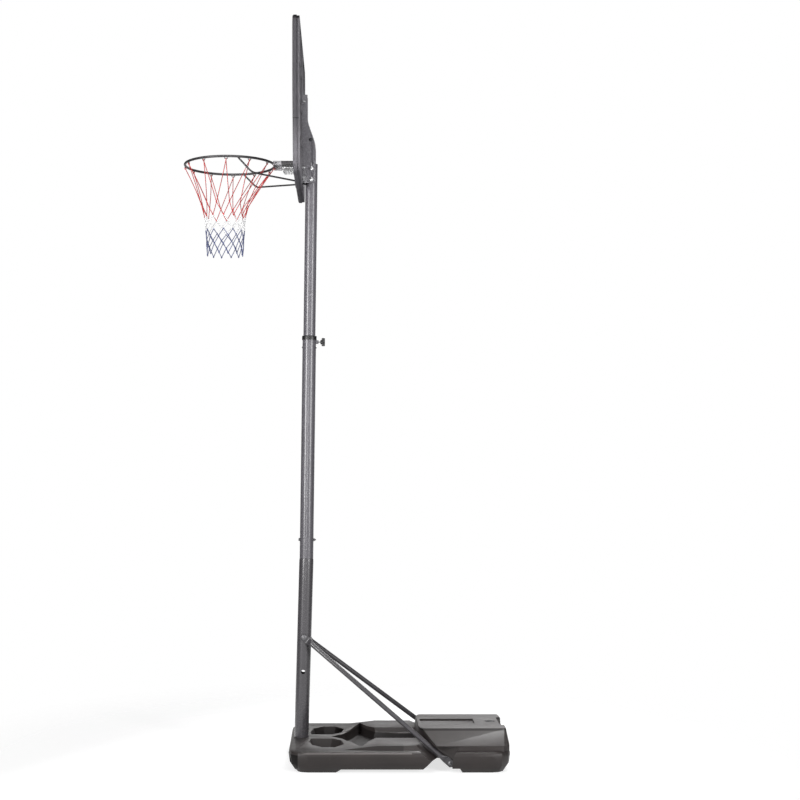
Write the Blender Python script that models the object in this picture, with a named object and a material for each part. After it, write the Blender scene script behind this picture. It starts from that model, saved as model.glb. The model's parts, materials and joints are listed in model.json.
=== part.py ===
# Portable basketball hoop: fillable wheeled base, telescoping mast, board and sprung rim.
# Metres, +Z up, +X towards the base's tank, -X towards the court, +Y away from the photograph's camera.
# The origin lies on the ground, under the middle of the whole object.
import math

import bmesh
import bpy
from mathutils import Matrix, Vector

# Clearances
GAP = 0.0003                 # between two pieces that touch
RUN = 0.0003                 # radial clearance of a shaft or bolt in its hole
SLIDE = 0.0003               # radial clearance between the upper tube and its bush
OVERCUT = 0.020              # how far a cutter runs past the face it opens

# Base
BASE_LENGTH = 1.095
BASE_WIDTH = 0.750
BASE_CORNER = 0.095          # plan radius of the corners
SIDE_TOP = 0.085             # height where the side wall is widest
SIDE_DRAFT = 0.032           # how far the wall draws in from there to the ground
SIDE_ROUND = 0.038           # height below which it rounds under
SIDE_ROUND_IN = 0.006        # its draft at that height
SHOULDER_RISE = 0.021        # rounded shoulder above the side wall, up to the deck
SHOULDER_IN = 0.030          # its width
RAIL_START = 0.270           # base's front end to where the rails leave the deck
RAIL_CREST = 0.440           # and to where they are full height
RAIL_RISE = 0.020
RAIL_IN = 0.118              # rail's inner edge, from the middle plane
RAIL_OUT = 0.040             # its outer edge, in from the base's side
RAIL_SLOPE = 0.014           # width of its sloping sides
RAIL_UNDER_TANK = 0.050      # its rear end, inside the tank
BASE_SKIN = 0.004            # moulded wall
TANK_START = 0.655           # base's front end to the tank's front edge
TANK_LEDGE = 0.129           # height where the tank's sides begin to slope
TANK_HEIGHT = 0.185
TANK_SIDE_IN = 0.035         # tank's side at the bottom, in from the base's side
TANK_TOP_IN = 0.185          # and at the top
TANK_EDGE = 0.004            # chamfer round the tank's top
TANK_NOSE_LOW = [(-0.013, 0.120), (0.004, 0.200)]    # behind its front edge, from the middle plane
TANK_NOSE_TOP = [(-0.008, 0.120)]
TANK_NOSE_IN = 0.020         # at the top, the front edge's end in from the side
TANK_CORNER_LOW = 0.072      # tank's front edge back to its full width
TANK_CORNER_TOP = 0.014
TANK_TAIL_LOW = [(0.036, 0.0), (0.004, 0.040), (0.0, 0.090)]     # ahead of its rear wall, in from its side
TANK_TAIL_TOP = [(0.016, 0.0), (0.006, 0.012), (0.004, 0.060)]
TANK_SETBACK = 0.002         # tank's rear wall, in from the base's rear end
TANK_GROOVE_LENGTH = 0.276
TANK_GROOVE_HALF = 0.066
TANK_GROOVE_DEPTH = 0.010
TANK_GROOVE_SLOPE = 0.006
TANK_GROOVE_START = 0.010    # behind the tank's front edge
GRIP_HALF = 0.100            # hand grip in the tank's rear edge
GRIP_DEPTH = 0.028
GRIP_DROP = 0.032
FILL_AIR = 0.030             # air left above the fill

# Deck hollows
POCKET_DEPTH = 0.045         # pair of hollows behind the mast
VALLEY_DEPTH = 0.040         # cross valley and the trough to the tank
HOLLOW_SLOPE = 0.016         # how far a hollow's walls draw in to its floor
POCKET_PLAN = [              # each behind the mast's foot, from the middle plane
    (0.052, 0.052), (0.160, 0.050), (0.208, 0.098), (0.222, 0.190), (0.178, 0.258), (0.112, 0.258),
    (0.062, 0.205), (0.046, 0.120),
]
VALLEY_FRONT = [(0.155, 0.0), (0.212, 0.055), (0.257, 0.155), (0.286, 0.245)]
VALLEY_REAR = [(0.326, 0.245), (0.345, 0.190), (0.385, 0.124)]
VALLEY_TIP_BACK = 0.306      # the valley's tips, behind the mast's foot
VALLEY_TIP_IN = 0.075        # and in from the base's sides
TROUGH_HALF = 0.088
TROUGH_RUN = 0.088           # straight length of the trough
TROUGH_END = 0.012           # ahead of the tank's front edge

# Feet and arch below
FOOT_RISE = 0.017            # underside between the feet
ARCH_RISE = 0.061
FRONT_FOOT_END = 0.2345      # distances from the base's front end
FOOT_RAMP = 0.024
ARCH_START = 0.661
ARCH_RAMP = 0.042
ARCH_CROWN = 0.042
REAR_WEB = 0.0216            # underside between the arch and the rear foot
REAR_WEB_START = 0.790
REAR_FOOT_START = 0.853

# Filler
FILLER_SETBACK = 0.070       # tank's rear end to the filler's axis
FILLER_HOLE = 0.0170         # radius
FILLER_SEAT_RADIUS = 0.0260
FILLER_SEAT_DEPTH = 0.004
CAP_RADIUS = 0.0215
CAP_THICKNESS = 0.0045
CAP_PLUG = 0.014
CAP_GRIP_HEIGHT = 0.008

# Wheels and axle
WHEEL_RADIUS = 0.041
WHEEL_WIDTH = 0.034
WHEEL_IN = 0.083             # wheel's middle, in from the base's side
WHEEL_AXIS_HEIGHT = 0.0510
WHEEL_WELL_CLEAR = 0.005
WELL_SIDE_CLEAR = 0.004
AXLE_RADIUS = 0.005
AXLE_CAP_RADIUS = 0.009
AXLE_CAP_LENGTH = 0.006

# Mast
FOOT_SETBACK = 0.0526        # base's front end to the mast's axis at the ground
LOWER_LEAN = math.radians(1.60)
MAST_LEAN = math.radians(0.76)
FOOT_HEIGHT = 0.022          # bottom end of the mast in its socket
JOINT_HEIGHT = 1.024
COLLAR_HEIGHT = 2.157        # top of the middle tube
MAST_HEIGHT = 3.046          # top of the upper tube
LOWER_RADIUS = 0.0365
MIDDLE_RADIUS = 0.0350
UPPER_RADIUS = 0.0310
TUBE_WALL = 0.0015
NECK_LENGTH = 0.140          # lower tube's neck, up inside the middle tube
NECK_TAPER = 0.012
UPPER_INSERTION = 0.205      # upper tube inside the middle one
SIGHT_HOLE_HEIGHT = 0.443
SIGHT_HOLE_RADIUS = 0.0110
JOINT_BOLT_RISE = 0.095      # above the joint
JOINT_BOLT_RADIUS = 0.004
TOP_CAP_LIP = 0.004
TOP_CAP_PLUG = 0.010

# Collar and height clamp
COLLAR_WALL = 0.0025         # outside the middle tube
COLLAR_LIP = 0.010           # above the tube's end
COLLAR_SKIRT_OUT = 0.011     # outer skirt's length
COLLAR_SKIRT_IN = 0.066      # inner bush's length
SCREW_DROP = 0.050           # below the top of the middle tube
SCREW_RADIUS = 0.0025
SCREW_HEAD_RADIUS = 0.005
SCREW_HEAD = 0.003
CLAMP_DROP = 0.021
CLAMP_STUD_RADIUS = 0.004
CLAMP_STUD_LENGTH = 0.036
CLAMP_BOSS_RADIUS = 0.0095
CLAMP_BOSS_LENGTH = 0.012
KNOB_RADIUS = 0.0230
KNOB_WAVE = 0.0025
KNOB_LOBES = 6
KNOB_WIDTH = 0.017
KNOB_HUB_RADIUS = 0.011
KNOB_HUB_LENGTH = 0.006
KNOB_STANDOFF = 0.010        # free thread between the boss and the knob's hub

# Struts
STRUT_RADIUS = 0.0120
STRUT_WALL = 0.0015
STRUT_VENT = 0.0020          # radius of the drain hole near the foot
STRUT_FLAT = 0.0032          # thickness of a flattened end
STRUT_FLAT_HALF = 0.0185     # its half-width
STRUT_TOP_HEIGHT = 0.620
STRUT_FOOT_BACK = 0.790      # base's front end to the foot bolt
STRUT_FOOT_IN = 0.044        # foot bolt, in from the base's side
STRUT_FOOT_HEIGHT = 0.042
STRUT_END = 0.018            # flat beyond each bolt
STRUT_FLAT_RUN = 0.022       # flat before each bolt
STRUT_SWELL = 0.030          # length over which the tube grows round
STRUT_BOLT_RADIUS = 0.004
STRUT_FOOT_BOLT_LENGTH = 0.024
NOTCH_UNDER = 0.006          # air below the strut in the base's notch
NOTCH_OVER = 0.008           # air above it
NOTCH_RUN = 0.240            # notch before the foot bolt, level along the strut
NOTCH_END = 0.019            # and beyond it, at the bottom
NOTCH_FLARE = 0.050          # beyond it, at the top
NOTCH_TOP = 0.124

# Board
RIM_HEIGHT = 3.050           # top of the ring
MAST_TO_BOARD = 0.080        # mast's axis to the board's face, at the bracket
BOARD_BOTTOM = 2.925
BOARD_TOP = 3.665
BOARD_HALF_TOP = 0.550
BOARD_HALF_BOTTOM = 0.465
BOARD_TAPER_HEIGHT = 3.300   # sides begin to draw in below this
BOARD_CORNER = 0.070
PANEL_THICKNESS = 0.020
PANEL_CHAMFER = 0.005
PANEL_SKIN = 0.006           # the panel is hollow behind its face
PANEL_RIM = 0.030            # solid rim round the hollows
FRAME_THICKNESS = 0.013
FRAME_INSET = 0.004
FRAME_RIM = 0.034
FRAME_RIB = 0.014
FRAME_SPINE_HALF = 0.082
FRAME_ROWS = 4
FRAME_COLUMNS = 2            # on each side of the spine

# Bracket between the board and the mast
PLATE_THICKNESS = 0.003
PLATE_FLANGE = 0.040
BRACKET_BOTTOM = 2.949
BRACKET_CURVE = 3.120        # rear edge begins to draw in
BRACKET_STEP = 3.288
BRACKET_TOP = 3.400
BRACKET_DEPTH = 0.069
BRACKET_DEPTH_TOP = 0.027
BRACKET_BOLT_HIGH = 3.022
BRACKET_BOLT_LOW = 2.966
TIE_BOLT_HEIGHT = 3.170
TIE_BOLT_BACK = 0.044        # behind the board's rear face
M8_RADIUS = 0.004
HEX_RADIUS = 0.0073          # across corners, halved
HEX_HEIGHT = 0.0055
NUT_HEIGHT = 0.0065
BOLT_FLANGE = 0.0095
BOLT_FLANGE_HEIGHT = 0.0016
DOME_RADIUS = 0.0085
DOME_HEIGHT = 0.0040
BOLT_TAIL = 0.006            # thread beyond a nut
BOARD_BOLT_Y = 0.0505
BOARD_BOLT_HIGH = 3.360
BOARD_BOLT_LOW = 2.974

# Rim
RING_BORE = 0.446            # inner diameter
RING_ROD = 0.0125            # the bar's diameter
RING_OFFSET = 0.3405         # ring's centre to the board's face
HOOK_COUNT = 12
HOOK_WIRE = 0.0018           # radius
HOOK_HALF = 0.0075
HOOK_DROP = 0.009
ARM_SHEET = 0.003
ARM_FLANGE = 0.015
ARM_FLANGE_FRONT = 0.021
ARM_FRONT_BLOCK = 0.038      # length of the deep part of the arm's flanges
RIM_PLATE = 0.004
RIM_PLATE_BOTTOM = 2.942
RIM_PLATE_STEP = 2.995
RIM_FOOT_TOP = 2.962         # plate's wide foot, which holds the braces
RIM_FOOT_HALF = 0.064
RIM_NECK_HALF = 0.036
SPRING_HEIGHT = 3.022
SPRING_RADIUS = 0.0140       # to the wire's centre
SPRING_WIRE = 0.0015         # wire's radius
SPRING_LENGTH = 0.0550
SPRING_TURNS = 7
SPRING_POINTS = 8            # a turn
WASHER_RADIUS = 0.0155
WASHER_THICKNESS = 0.0015
SPRING_HOLE = 0.0078         # lets the plate tilt on its bolt
BRACE_RADIUS = 0.0045
BRACE_START_BACK = 0.055     # ring's centre to where the brace leaves the ring
BRACE_DROP_RUN = 0.070
BRACE_DROP_HALF = 0.203      # from the middle plane, where it stops dropping
BRACE_LEVEL = 2.9700
BRACE_LEVEL_RUN = 0.040
BRACE_LEVEL_HALF = 0.168     # where it turns towards the plate
BRACE_LEVEL_FALL = 0.0035
BRACE_PLATE_HALF = 0.045     # and at the plate's rear face
BRACE_PLATE_HEIGHT = 2.9550

# Net: height of each row of knots, and the net's radius there
NET_CORD = 0.0040
NET_KNOT = 0.007             # length of a knot
NET_TOP_RADIUS = 0.2275
NET_SWAY = 0.025             # it hangs this far towards the court
NET_ROWS = [
    (2.838, 0.1220),
    (2.776, 0.1040),
    (2.740, 0.1010),
    (2.706, 0.0990),
    (2.670, 0.0975),
    (2.631, 0.0955),
    (2.583, 0.0930),
]
RED_ROW_COUNT = 2
WHITE_ROW_COUNT = 2

# Worked-out sizes
ring_radius = (RING_BORE + RING_ROD) / 2
ring_height = RIM_HEIGHT - RING_ROD / 2
bracket_middle = (BRACKET_BOLT_HIGH + BRACKET_BOLT_LOW) / 2
mast_shift = math.tan(LOWER_LEAN) * JOINT_HEIGHT
head_shift = mast_shift + math.tan(MAST_LEAN) * (bracket_middle - JOINT_HEIGHT)
front_reach = MAST_TO_BOARD + RING_OFFSET + ring_radius + RING_ROD / 2 - head_shift
rear_reach = BASE_LENGTH - FOOT_SETBACK
foot_x = (front_reach - rear_reach) / 2
base_front = foot_x - FOOT_SETBACK
base_rear = base_front + BASE_LENGTH
deck_height = SIDE_TOP + SHOULDER_RISE
tank_half_low = BASE_WIDTH / 2 - TANK_SIDE_IN
tank_half_top = BASE_WIDTH / 2 - TANK_TOP_IN
wheel_half_track = BASE_WIDTH / 2 - WHEEL_IN
strut_foot_half = BASE_WIDTH / 2 - STRUT_FOOT_IN
tank_rear = base_rear - TANK_SETBACK
board_face = foot_x + head_shift - MAST_TO_BOARD
frame_front = board_face + PANEL_THICKNESS + GAP
board_back = frame_front + FRAME_THICKNESS
ring_x = board_face - RING_OFFSET
joint_x = foot_x + mast_shift
middle_bore = MIDDLE_RADIUS - TUBE_WALL
plate_inner = UPPER_RADIUS + GAP
clamp_height = COLLAR_HEIGHT - CLAMP_DROP
screw_height = COLLAR_HEIGHT - SCREW_DROP
rim_plate_front = board_face - GAP - RIM_PLATE
arm_half = BOARD_BOLT_Y + WASHER_RADIUS + 0.002 + ARM_SHEET
arm_front = ring_x + ring_radius - RING_ROD / 3
filler_x = tank_rear - FILLER_SETBACK


def lower_x(height):
    """X of the lower tube's axis at a height."""
    return foot_x + math.tan(LOWER_LEAN) * height


def mast_x(height):
    """X of the middle and upper tubes' axis at a height."""
    return joint_x + math.tan(MAST_LEAN) * (height - JOINT_HEIGHT)


def along_mast(height):
    """Distance from the joint, along the mast, of a height."""
    return (height - JOINT_HEIGHT) / math.cos(MAST_LEAN)


# Meshes

def mesh_object(name, vertices, faces):
    mesh = bpy.data.meshes.new(name)
    mesh.from_pydata([tuple(v) for v in vertices], [], faces)
    mesh.validate()
    item = bpy.data.objects.new(name, mesh)
    bpy.context.collection.objects.link(item)
    return item


def outward(item):
    """Merge doubles and point every face outwards."""
    shape = bmesh.new()
    shape.from_mesh(item.data)
    bmesh.ops.remove_doubles(shape, verts=shape.verts, dist=1e-6)
    bmesh.ops.recalc_face_normals(shape, faces=shape.faces)
    shape.to_mesh(item.data)
    shape.free()
    return item


def combine(item, tool, operation='DIFFERENCE'):
    """Cut or join one object with another, and drop the other."""
    change = item.modifiers.new(tool.name, 'BOOLEAN')
    change.operation = operation
    change.object = tool
    bpy.context.view_layer.update()
    evaluated = item.evaluated_get(bpy.context.evaluated_depsgraph_get())
    mesh = bpy.data.meshes.new_from_object(evaluated)
    item.modifiers.clear()
    old = item.data
    item.data = mesh
    bpy.data.meshes.remove(old)
    bpy.data.objects.remove(tool)
    return item


def loft(name, rings):
    """Closed solid through rings of equal counts, capped at both ends."""
    count = len(rings[0])
    vertices = [Vector(point) for ring in rings for point in ring]
    faces = []
    for level in range(len(rings) - 1):
        low, high = level * count, (level + 1) * count
        for side in range(count):
            after = (side + 1) % count
            quad = (low + side, low + after, high + after, high + side)
            a, b, c, d = (vertices[corner] for corner in quad)
            if abs((b - a).cross(c - a).normalized().dot(d - a)) < 1e-7:
                faces.append(quad)
            else:
                faces += [quad[:3], (quad[0], *quad[2:])]
    faces.append(tuple(reversed(range(count))))
    last = (len(rings) - 1) * count
    faces.append(tuple(range(last, last + count)))
    return outward(mesh_object(name, vertices, faces))


def prism(name, outline, low, high, axis):
    """Outline in the plane square to an axis, pushed from low to high along it."""
    places = {
        'X': lambda a, b, c: (c, a, b),
        'Y': lambda a, b, c: (a, c, b),
        'Z': lambda a, b, c: (a, b, c),
    }
    place = places[axis]
    return loft(name, [[place(a, b, end) for a, b in outline] for end in (low, high)])


def box(name, low, high):
    outline = [(low[0], low[1]), (high[0], low[1]), (high[0], high[1]), (low[0], high[1])]
    return prism(name, outline, low[2], high[2], 'Z')


def turned(name, profile, steps=32, closed=True):
    """Profile of (radius, height) turned about Z: a closed loop, or an open line from pole to pole."""
    vertices, rows = [], []
    for radius, height in profile:
        if radius < 1e-9:
            rows.append([len(vertices)])
            vertices.append((0, 0, height))
            continue
        rows.append(list(range(len(vertices), len(vertices) + steps)))
        for step in range(steps):
            angle = math.tau * step / steps
            vertices.append((radius * math.cos(angle), radius * math.sin(angle), height))
    faces = []
    pairs = list(zip(rows, rows[1:] + rows[:1])) if closed else list(zip(rows, rows[1:]))
    for first, second in pairs:
        for step in range(steps):
            after = (step + 1) % steps
            if len(first) == 1 and len(second) == 1:
                break
            if len(first) == 1:
                faces.append((first[0], second[step], second[after]))
            elif len(second) == 1:
                faces.append((first[step], second[0], first[after]))
            else:
                faces.append((first[step], second[step], second[after], first[after]))
    return outward(mesh_object(name, vertices, faces))


def move(item, matrix):
    item.data.transform(matrix)
    return item


def facing(direction, place):
    """Matrix that lays +Z along a direction, at a place."""
    turn = Vector(direction).to_track_quat('Z', 'Y').to_matrix().to_4x4()
    return Matrix.Translation(Vector(place)) @ turn


def rod(name, radius, start, end, steps=20):
    start, end = Vector(start), Vector(end)
    length = (end - start).length
    item = turned(name, [(0, 0), (radius, 0), (radius, length), (0, length)], steps, closed=False)
    return move(item, facing(end - start, start))


def hole(radius, start, end):
    """Cutter for a bolt's hole: twelve sides, the radius measured across flats."""
    return rod('hole', radius / math.cos(math.pi / 12), start, end, 12)


def ring_at(centre, axis, radius, steps):
    """Points of a circle square to an axis."""
    turn = Vector(axis).to_track_quat('Z', 'Y')
    points = []
    for step in range(steps):
        angle = math.tau * step / steps
        points.append(Vector(centre) + turn @ Vector((radius * math.cos(angle), radius * math.sin(angle), 0)))
    return points


def ring_body(name, rings):
    """Solid with a hole through it, skinned over a closed loop of rings."""
    count = len(rings[0])
    vertices = [point for ring in rings for point in ring]
    faces = []
    for level in range(len(rings)):
        low, high = level * count, ((level + 1) % len(rings)) * count
        for side in range(count):
            after = (side + 1) % count
            faces.append((low + side, low + after, high + after, high + side))
    return outward(mesh_object(name, vertices, faces))


def pipe(name, sections, steps=24):
    """Tube with open ends through sections of (centre, axis, outer radius, inner radius)."""
    outer = [ring_at(c, a, big, steps) for c, a, big, _ in sections]
    inner = [ring_at(c, a, small, steps) for c, a, _, small in sections]
    return ring_body(name, outer + inner[::-1])


def rounded_path(points, radius, steps=5):
    """Polyline with its corners rounded by arcs of the given tangent length."""
    points = [Vector(p) for p in points]
    path = [points[0]]
    for before, corner, after in zip(points, points[1:], points[2:]):
        start = corner + (before - corner).normalized() * radius
        end = corner + (after - corner).normalized() * radius
        for step in range(steps + 1):
            t = step / steps
            path.append(start.lerp(corner, t).lerp(corner.lerp(end, t), t))
    path.append(points[-1])
    return path


def wire(name, path, radius, sides=8):
    """Solid round bar along a path."""
    path = [Vector(p) for p in path]
    rings = []
    normal = None
    for index, point in enumerate(path):
        ahead = path[min(index + 1, len(path) - 1)]
        behind = path[max(index - 1, 0)]
        tangent = (ahead - behind).normalized()
        if normal is None:
            normal = tangent.orthogonal().normalized()
        normal = (normal - tangent * normal.dot(tangent)).normalized()
        side = tangent.cross(normal)
        ring = []
        for step in range(sides):
            angle = math.tau * step / sides
            ring.append(point + (normal * math.cos(angle) + side * math.sin(angle)) * radius)
        rings.append(ring)
    return loft(name, rings)


def rounded_rectangle(x_low, x_high, half, radius, steps=4):
    """Plan outline with round corners, anticlockwise."""
    centres = [
        (x_high - radius, half - radius, 0),
        (x_low + radius, half - radius, 1),
        (x_low + radius, radius - half, 2),
        (x_high - radius, radius - half, 3),
    ]
    outline = []
    for x, y, quarter in centres:
        for step in range(steps + 1):
            angle = (quarter + step / steps) * math.pi / 2
            outline.append((x + radius * math.cos(angle), y + radius * math.sin(angle)))
    return outline


def rounded_outline(corners, steps=4):
    """Polygon whose corners, each (a, b, radius), are rounded by arcs."""
    outline = []
    count = len(corners)
    for index, (a, b, radius) in enumerate(corners):
        corner = Vector((a, b))
        before = Vector(corners[index - 1][:2]) - corner
        after = Vector(corners[(index + 1) % count][:2]) - corner
        angle = before.angle(after)
        reach = radius / math.tan(angle / 2)
        middle = (before.normalized() + after.normalized()).normalized()
        centre = corner + middle * (radius / math.sin(angle / 2))
        start = corner + before.normalized() * reach - centre
        end = corner + after.normalized() * reach - centre
        sweep = start.angle_signed(end)
        for step in range(steps + 1):
            turn = -sweep * step / steps
            spoke = Matrix.Rotation(turn, 2) @ start
            outline.append(tuple(centre + spoke))
    return outline


def grown(outline, distance):
    """Outline offset outwards; it runs anticlockwise."""
    result = []
    count = len(outline)
    for index in range(count):
        before = Vector(outline[index - 1])
        here = Vector(outline[index])
        after = Vector(outline[(index + 1) % count])
        first = (here - before).normalized()
        second = (after - here).normalized()
        normal = (Vector((first.y, -first.x)) + Vector((second.y, -second.x))).normalized()
        reach = distance / max(normal.dot(Vector((first.y, -first.x))), 0.4)
        result.append(tuple(here + normal * reach))
    return result


def mirrored(half_outline):
    """Half outline on the +Y side, run from front to rear, closed by its mirror image, anticlockwise."""
    other = [(x, -y) for x, y in half_outline]
    near = [point for point in other if point[1] < -1e-9]
    ends = [point for point in half_outline if abs(point[1]) < 1e-9]
    far = [point for point in half_outline if point[1] > 1e-9]
    front = [point for point in ends if point[0] <= far[0][0]]
    rear = [point for point in ends if point[0] > far[0][0]]
    return front + near + rear + far[::-1]


# Materials

def finish(name, colour, metallic, roughness):
    material = bpy.data.materials.new(name)
    material.use_nodes = True
    shader = material.node_tree.nodes['Principled BSDF']
    shader.inputs['Base Color'].default_value = (*colour, 1)
    shader.inputs['Metallic'].default_value = metallic
    shader.inputs['Roughness'].default_value = roughness
    material.diffuse_color = (*colour, 1)
    return material


FINISHES = {
    'mast_paint': ((0.165, 0.158, 0.172), 0.3, 0.42),
    'board_plastic': ((0.150, 0.145, 0.155), 0.0, 0.50),
    'base_plastic': ((0.060, 0.054, 0.055), 0.0, 0.55),
    'black_plastic': ((0.012, 0.012, 0.013), 0.0, 0.45),
    'rim_paint': ((0.045, 0.043, 0.046), 0.3, 0.40),
    'zinc': ((0.55, 0.55, 0.57), 1.0, 0.35),
    'black_steel': ((0.03, 0.03, 0.032), 0.8, 0.45),
    'wheel_plastic': ((0.010, 0.010, 0.010), 0.0, 0.70),
    'cord_red': ((0.62, 0.04, 0.045), 0.0, 0.85),
    'cord_white': ((0.86, 0.86, 0.86), 0.0, 0.85),
    'cord_blue': ((0.05, 0.08, 0.32), 0.0, 0.85),
    'fill_water': ((0.25, 0.33, 0.38), 0.0, 0.10),
}
finishes = {}


def node(item, name, look, parent=None, origin=None, sharp=35):
    """Name a finished solid, give it its material, parent and origin."""
    item.name = name
    item.data.name = name
    item.data.materials.clear()
    item.data.materials.append(finishes[look])
    item.data.shade_smooth()
    item.data.set_sharp_from_angle(angle=math.radians(sharp))
    if origin is not None:
        item.data.transform(Matrix.Translation(-Vector(origin)))
        item.location = origin
    if parent is not None:
        item.parent = parent
    return item


def empty(name, location, turn_y=0.0):
    item = bpy.data.objects.new(name, None)
    item.empty_display_size = 0.1
    item.location = location
    item.rotation_euler = (0, turn_y, 0)
    bpy.context.collection.objects.link(item)
    return item


# Fasteners, each along +Z from its head's seat at z = 0, in rings of twelve points

def round_ring(height, radius):
    return [(radius * math.cos(math.tau * k / 12), radius * math.sin(math.tau * k / 12), height) for k in range(12)]


def hex_ring(height, radius):
    """Twelve points on a hexagon: its corners and the middles of its sides."""
    ring = []
    for k in range(12):
        reach = radius if k % 2 == 0 else radius * math.cos(math.pi / 6)
        ring.append((reach * math.cos(math.tau * k / 12), reach * math.sin(math.tau * k / 12), height))
    return ring


def bolt(name, length, shank=M8_RADIUS, flange=BOLT_FLANGE):
    """Flanged hex bolt: the head lies below z = 0 and the shank above it."""
    head = -BOLT_FLANGE_HEIGHT - HEX_HEIGHT
    return loft(name, [
        hex_ring(head, HEX_RADIUS), hex_ring(-BOLT_FLANGE_HEIGHT, HEX_RADIUS),
        round_ring(0, flange), round_ring(0, shank), round_ring(length, shank),
    ])


def dome_bolt(name, length, shank=M8_RADIUS, radius=DOME_RADIUS, height=DOME_HEIGHT):
    """Round-headed bolt: the dome lies below z = 0."""
    return loft(name, [
        round_ring(-height, radius * 0.4), round_ring(-height * 0.75, radius * 0.75),
        round_ring(-height * 0.3, radius), round_ring(0, radius),
        round_ring(0, shank), round_ring(length, shank),
    ])


def nut(name, bore=M8_RADIUS + RUN, height=NUT_HEIGHT, flange=BOLT_FLANGE):
    """Flanged hex nut, seated on z = 0; its bore is measured across flats."""
    bore /= math.cos(math.pi / 12)
    return ring_body(name, [
        round_ring(0, bore), round_ring(0, flange), hex_ring(BOLT_FLANGE_HEIGHT, HEX_RADIUS),
        hex_ring(height, HEX_RADIUS), round_ring(height, bore),
    ])


# Base

def base_hollows(grow):
    """Everything cut from the base's block, each cutter grown by a wall."""
    cutters = []
    tip = (VALLEY_TIP_BACK, BASE_WIDTH / 2 - VALLEY_TIP_IN)
    trough_end = base_front + TANK_START - TROUGH_END
    pocket = [(foot_x + back, y) for back, y in POCKET_PLAN]
    other_pocket = [(x, -y) for x, y in pocket[::-1]]
    valley = mirrored([(foot_x + back, y) for back, y in (*VALLEY_FRONT, tip, *VALLEY_REAR)]
                      + [(trough_end - TROUGH_RUN, TROUGH_HALF), (trough_end, TROUGH_HALF)])
    for name, outline, depth in (('pocket', pocket, POCKET_DEPTH), ('pocket', other_pocket, POCKET_DEPTH),
                                 ('valley', valley, VALLEY_DEPTH)):
        levels = [
            (deck_height - depth - grow, -HOLLOW_SLOPE),
            (deck_height, 0.0),
            (TANK_HEIGHT + OVERCUT, 0.0),
        ]
        rings = [[(x, y, z) for x, y in grown(outline, spread + grow)] for z, spread in levels]
        cutters.append(loft(name, rings))
    below = [
        (base_front + FRONT_FOOT_END, -OVERCUT),
        (base_front + FRONT_FOOT_END, 0.0),
        (base_front + FRONT_FOOT_END + FOOT_RAMP, FOOT_RISE),
        (base_front + ARCH_START, FOOT_RISE),
        (base_front + ARCH_START + ARCH_RAMP, ARCH_RISE),
        (base_front + ARCH_START + ARCH_RAMP + ARCH_CROWN, ARCH_RISE),
        (base_front + REAR_WEB_START, REAR_WEB),
        (base_front + REAR_FOOT_START - FOOT_RAMP / 2, REAR_WEB),
        (base_front + REAR_FOOT_START, 0.0),
        (base_front + REAR_FOOT_START, -OVERCUT),
    ]
    cutters.append(prism('below', grown(below[::-1], grow)[::-1], -BASE_WIDTH, BASE_WIDTH, 'Y'))
    axle_x = lower_x(WHEEL_AXIS_HEIGHT)
    cutters.append(rod('axle_way', AXLE_RADIUS + RUN + grow, (axle_x, -wheel_half_track, WHEEL_AXIS_HEIGHT),
                       (axle_x, wheel_half_track, WHEEL_AXIS_HEIGHT), 16))
    well_in = wheel_half_track - WHEEL_WIDTH / 2 - WELL_SIDE_CLEAR - grow
    well_out = wheel_half_track + WHEEL_WIDTH / 2 + AXLE_CAP_LENGTH + WELL_SIDE_CLEAR + grow
    for side in (-1, 1):
        ends = sorted((side * well_in, side * well_out))
        cutters.append(prism('well', well_outline(grow), *ends, 'Y'))
        cutters.append(strut_notch(side, grow))
    foot = Vector((lower_x(FOOT_HEIGHT), 0, FOOT_HEIGHT - GAP - grow))
    lean = Vector((math.sin(LOWER_LEAN), 0, math.cos(LOWER_LEAN)))
    cutters.append(rod('socket', LOWER_RADIUS + GAP + grow, foot, foot + lean * (deck_height + OVERCUT), 24))
    groove_start = base_front + TANK_START + TANK_GROOVE_START
    groove_floor = TANK_GROOVE_HALF - TANK_GROOVE_SLOPE
    groove = [
        (-groove_floor - grow, TANK_HEIGHT - TANK_GROOVE_DEPTH - grow),
        (groove_floor + grow, TANK_HEIGHT - TANK_GROOVE_DEPTH - grow),
        (TANK_GROOVE_HALF + grow, TANK_HEIGHT + TANK_GROOVE_DEPTH),
        (-TANK_GROOVE_HALF - grow, TANK_HEIGHT + TANK_GROOVE_DEPTH),
    ]
    cutters.append(prism('groove', groove, groove_start - grow,
                         groove_start + TANK_GROOVE_LENGTH + grow, 'X'))
    cutters.append(box('grip', (tank_rear - GRIP_DEPTH - grow, -GRIP_HALF - grow,
                                TANK_HEIGHT - GRIP_DROP - grow),
                       (base_rear + OVERCUT, GRIP_HALF + grow, TANK_HEIGHT + OVERCUT)))
    cutters.append(rod('filler_seat', FILLER_SEAT_RADIUS + grow, (filler_x, 0, TANK_HEIGHT - FILLER_SEAT_DEPTH - grow),
                       (filler_x, 0, TANK_HEIGHT + OVERCUT), 14))
    return cutters


def well_outline(grow):
    """Wheel well seen from the side: round over the wheel, open below and in front of it."""
    axle_x = lower_x(WHEEL_AXIS_HEIGHT)
    radius = WHEEL_RADIUS + WHEEL_WELL_CLEAR + grow
    start = math.radians(-84)
    end = math.radians(184) - grow / radius
    outline = []
    for step in range(11):
        angle = start + (end - start) * step / 10
        outline.append((axle_x + radius * math.cos(angle), WHEEL_AXIS_HEIGHT + radius * math.sin(angle)))
    outline.append((base_front - OVERCUT, outline[-1][1]))
    outline.append((base_front - OVERCUT, -OVERCUT))
    outline.append((outline[0][0], -OVERCUT))
    return outline


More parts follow.
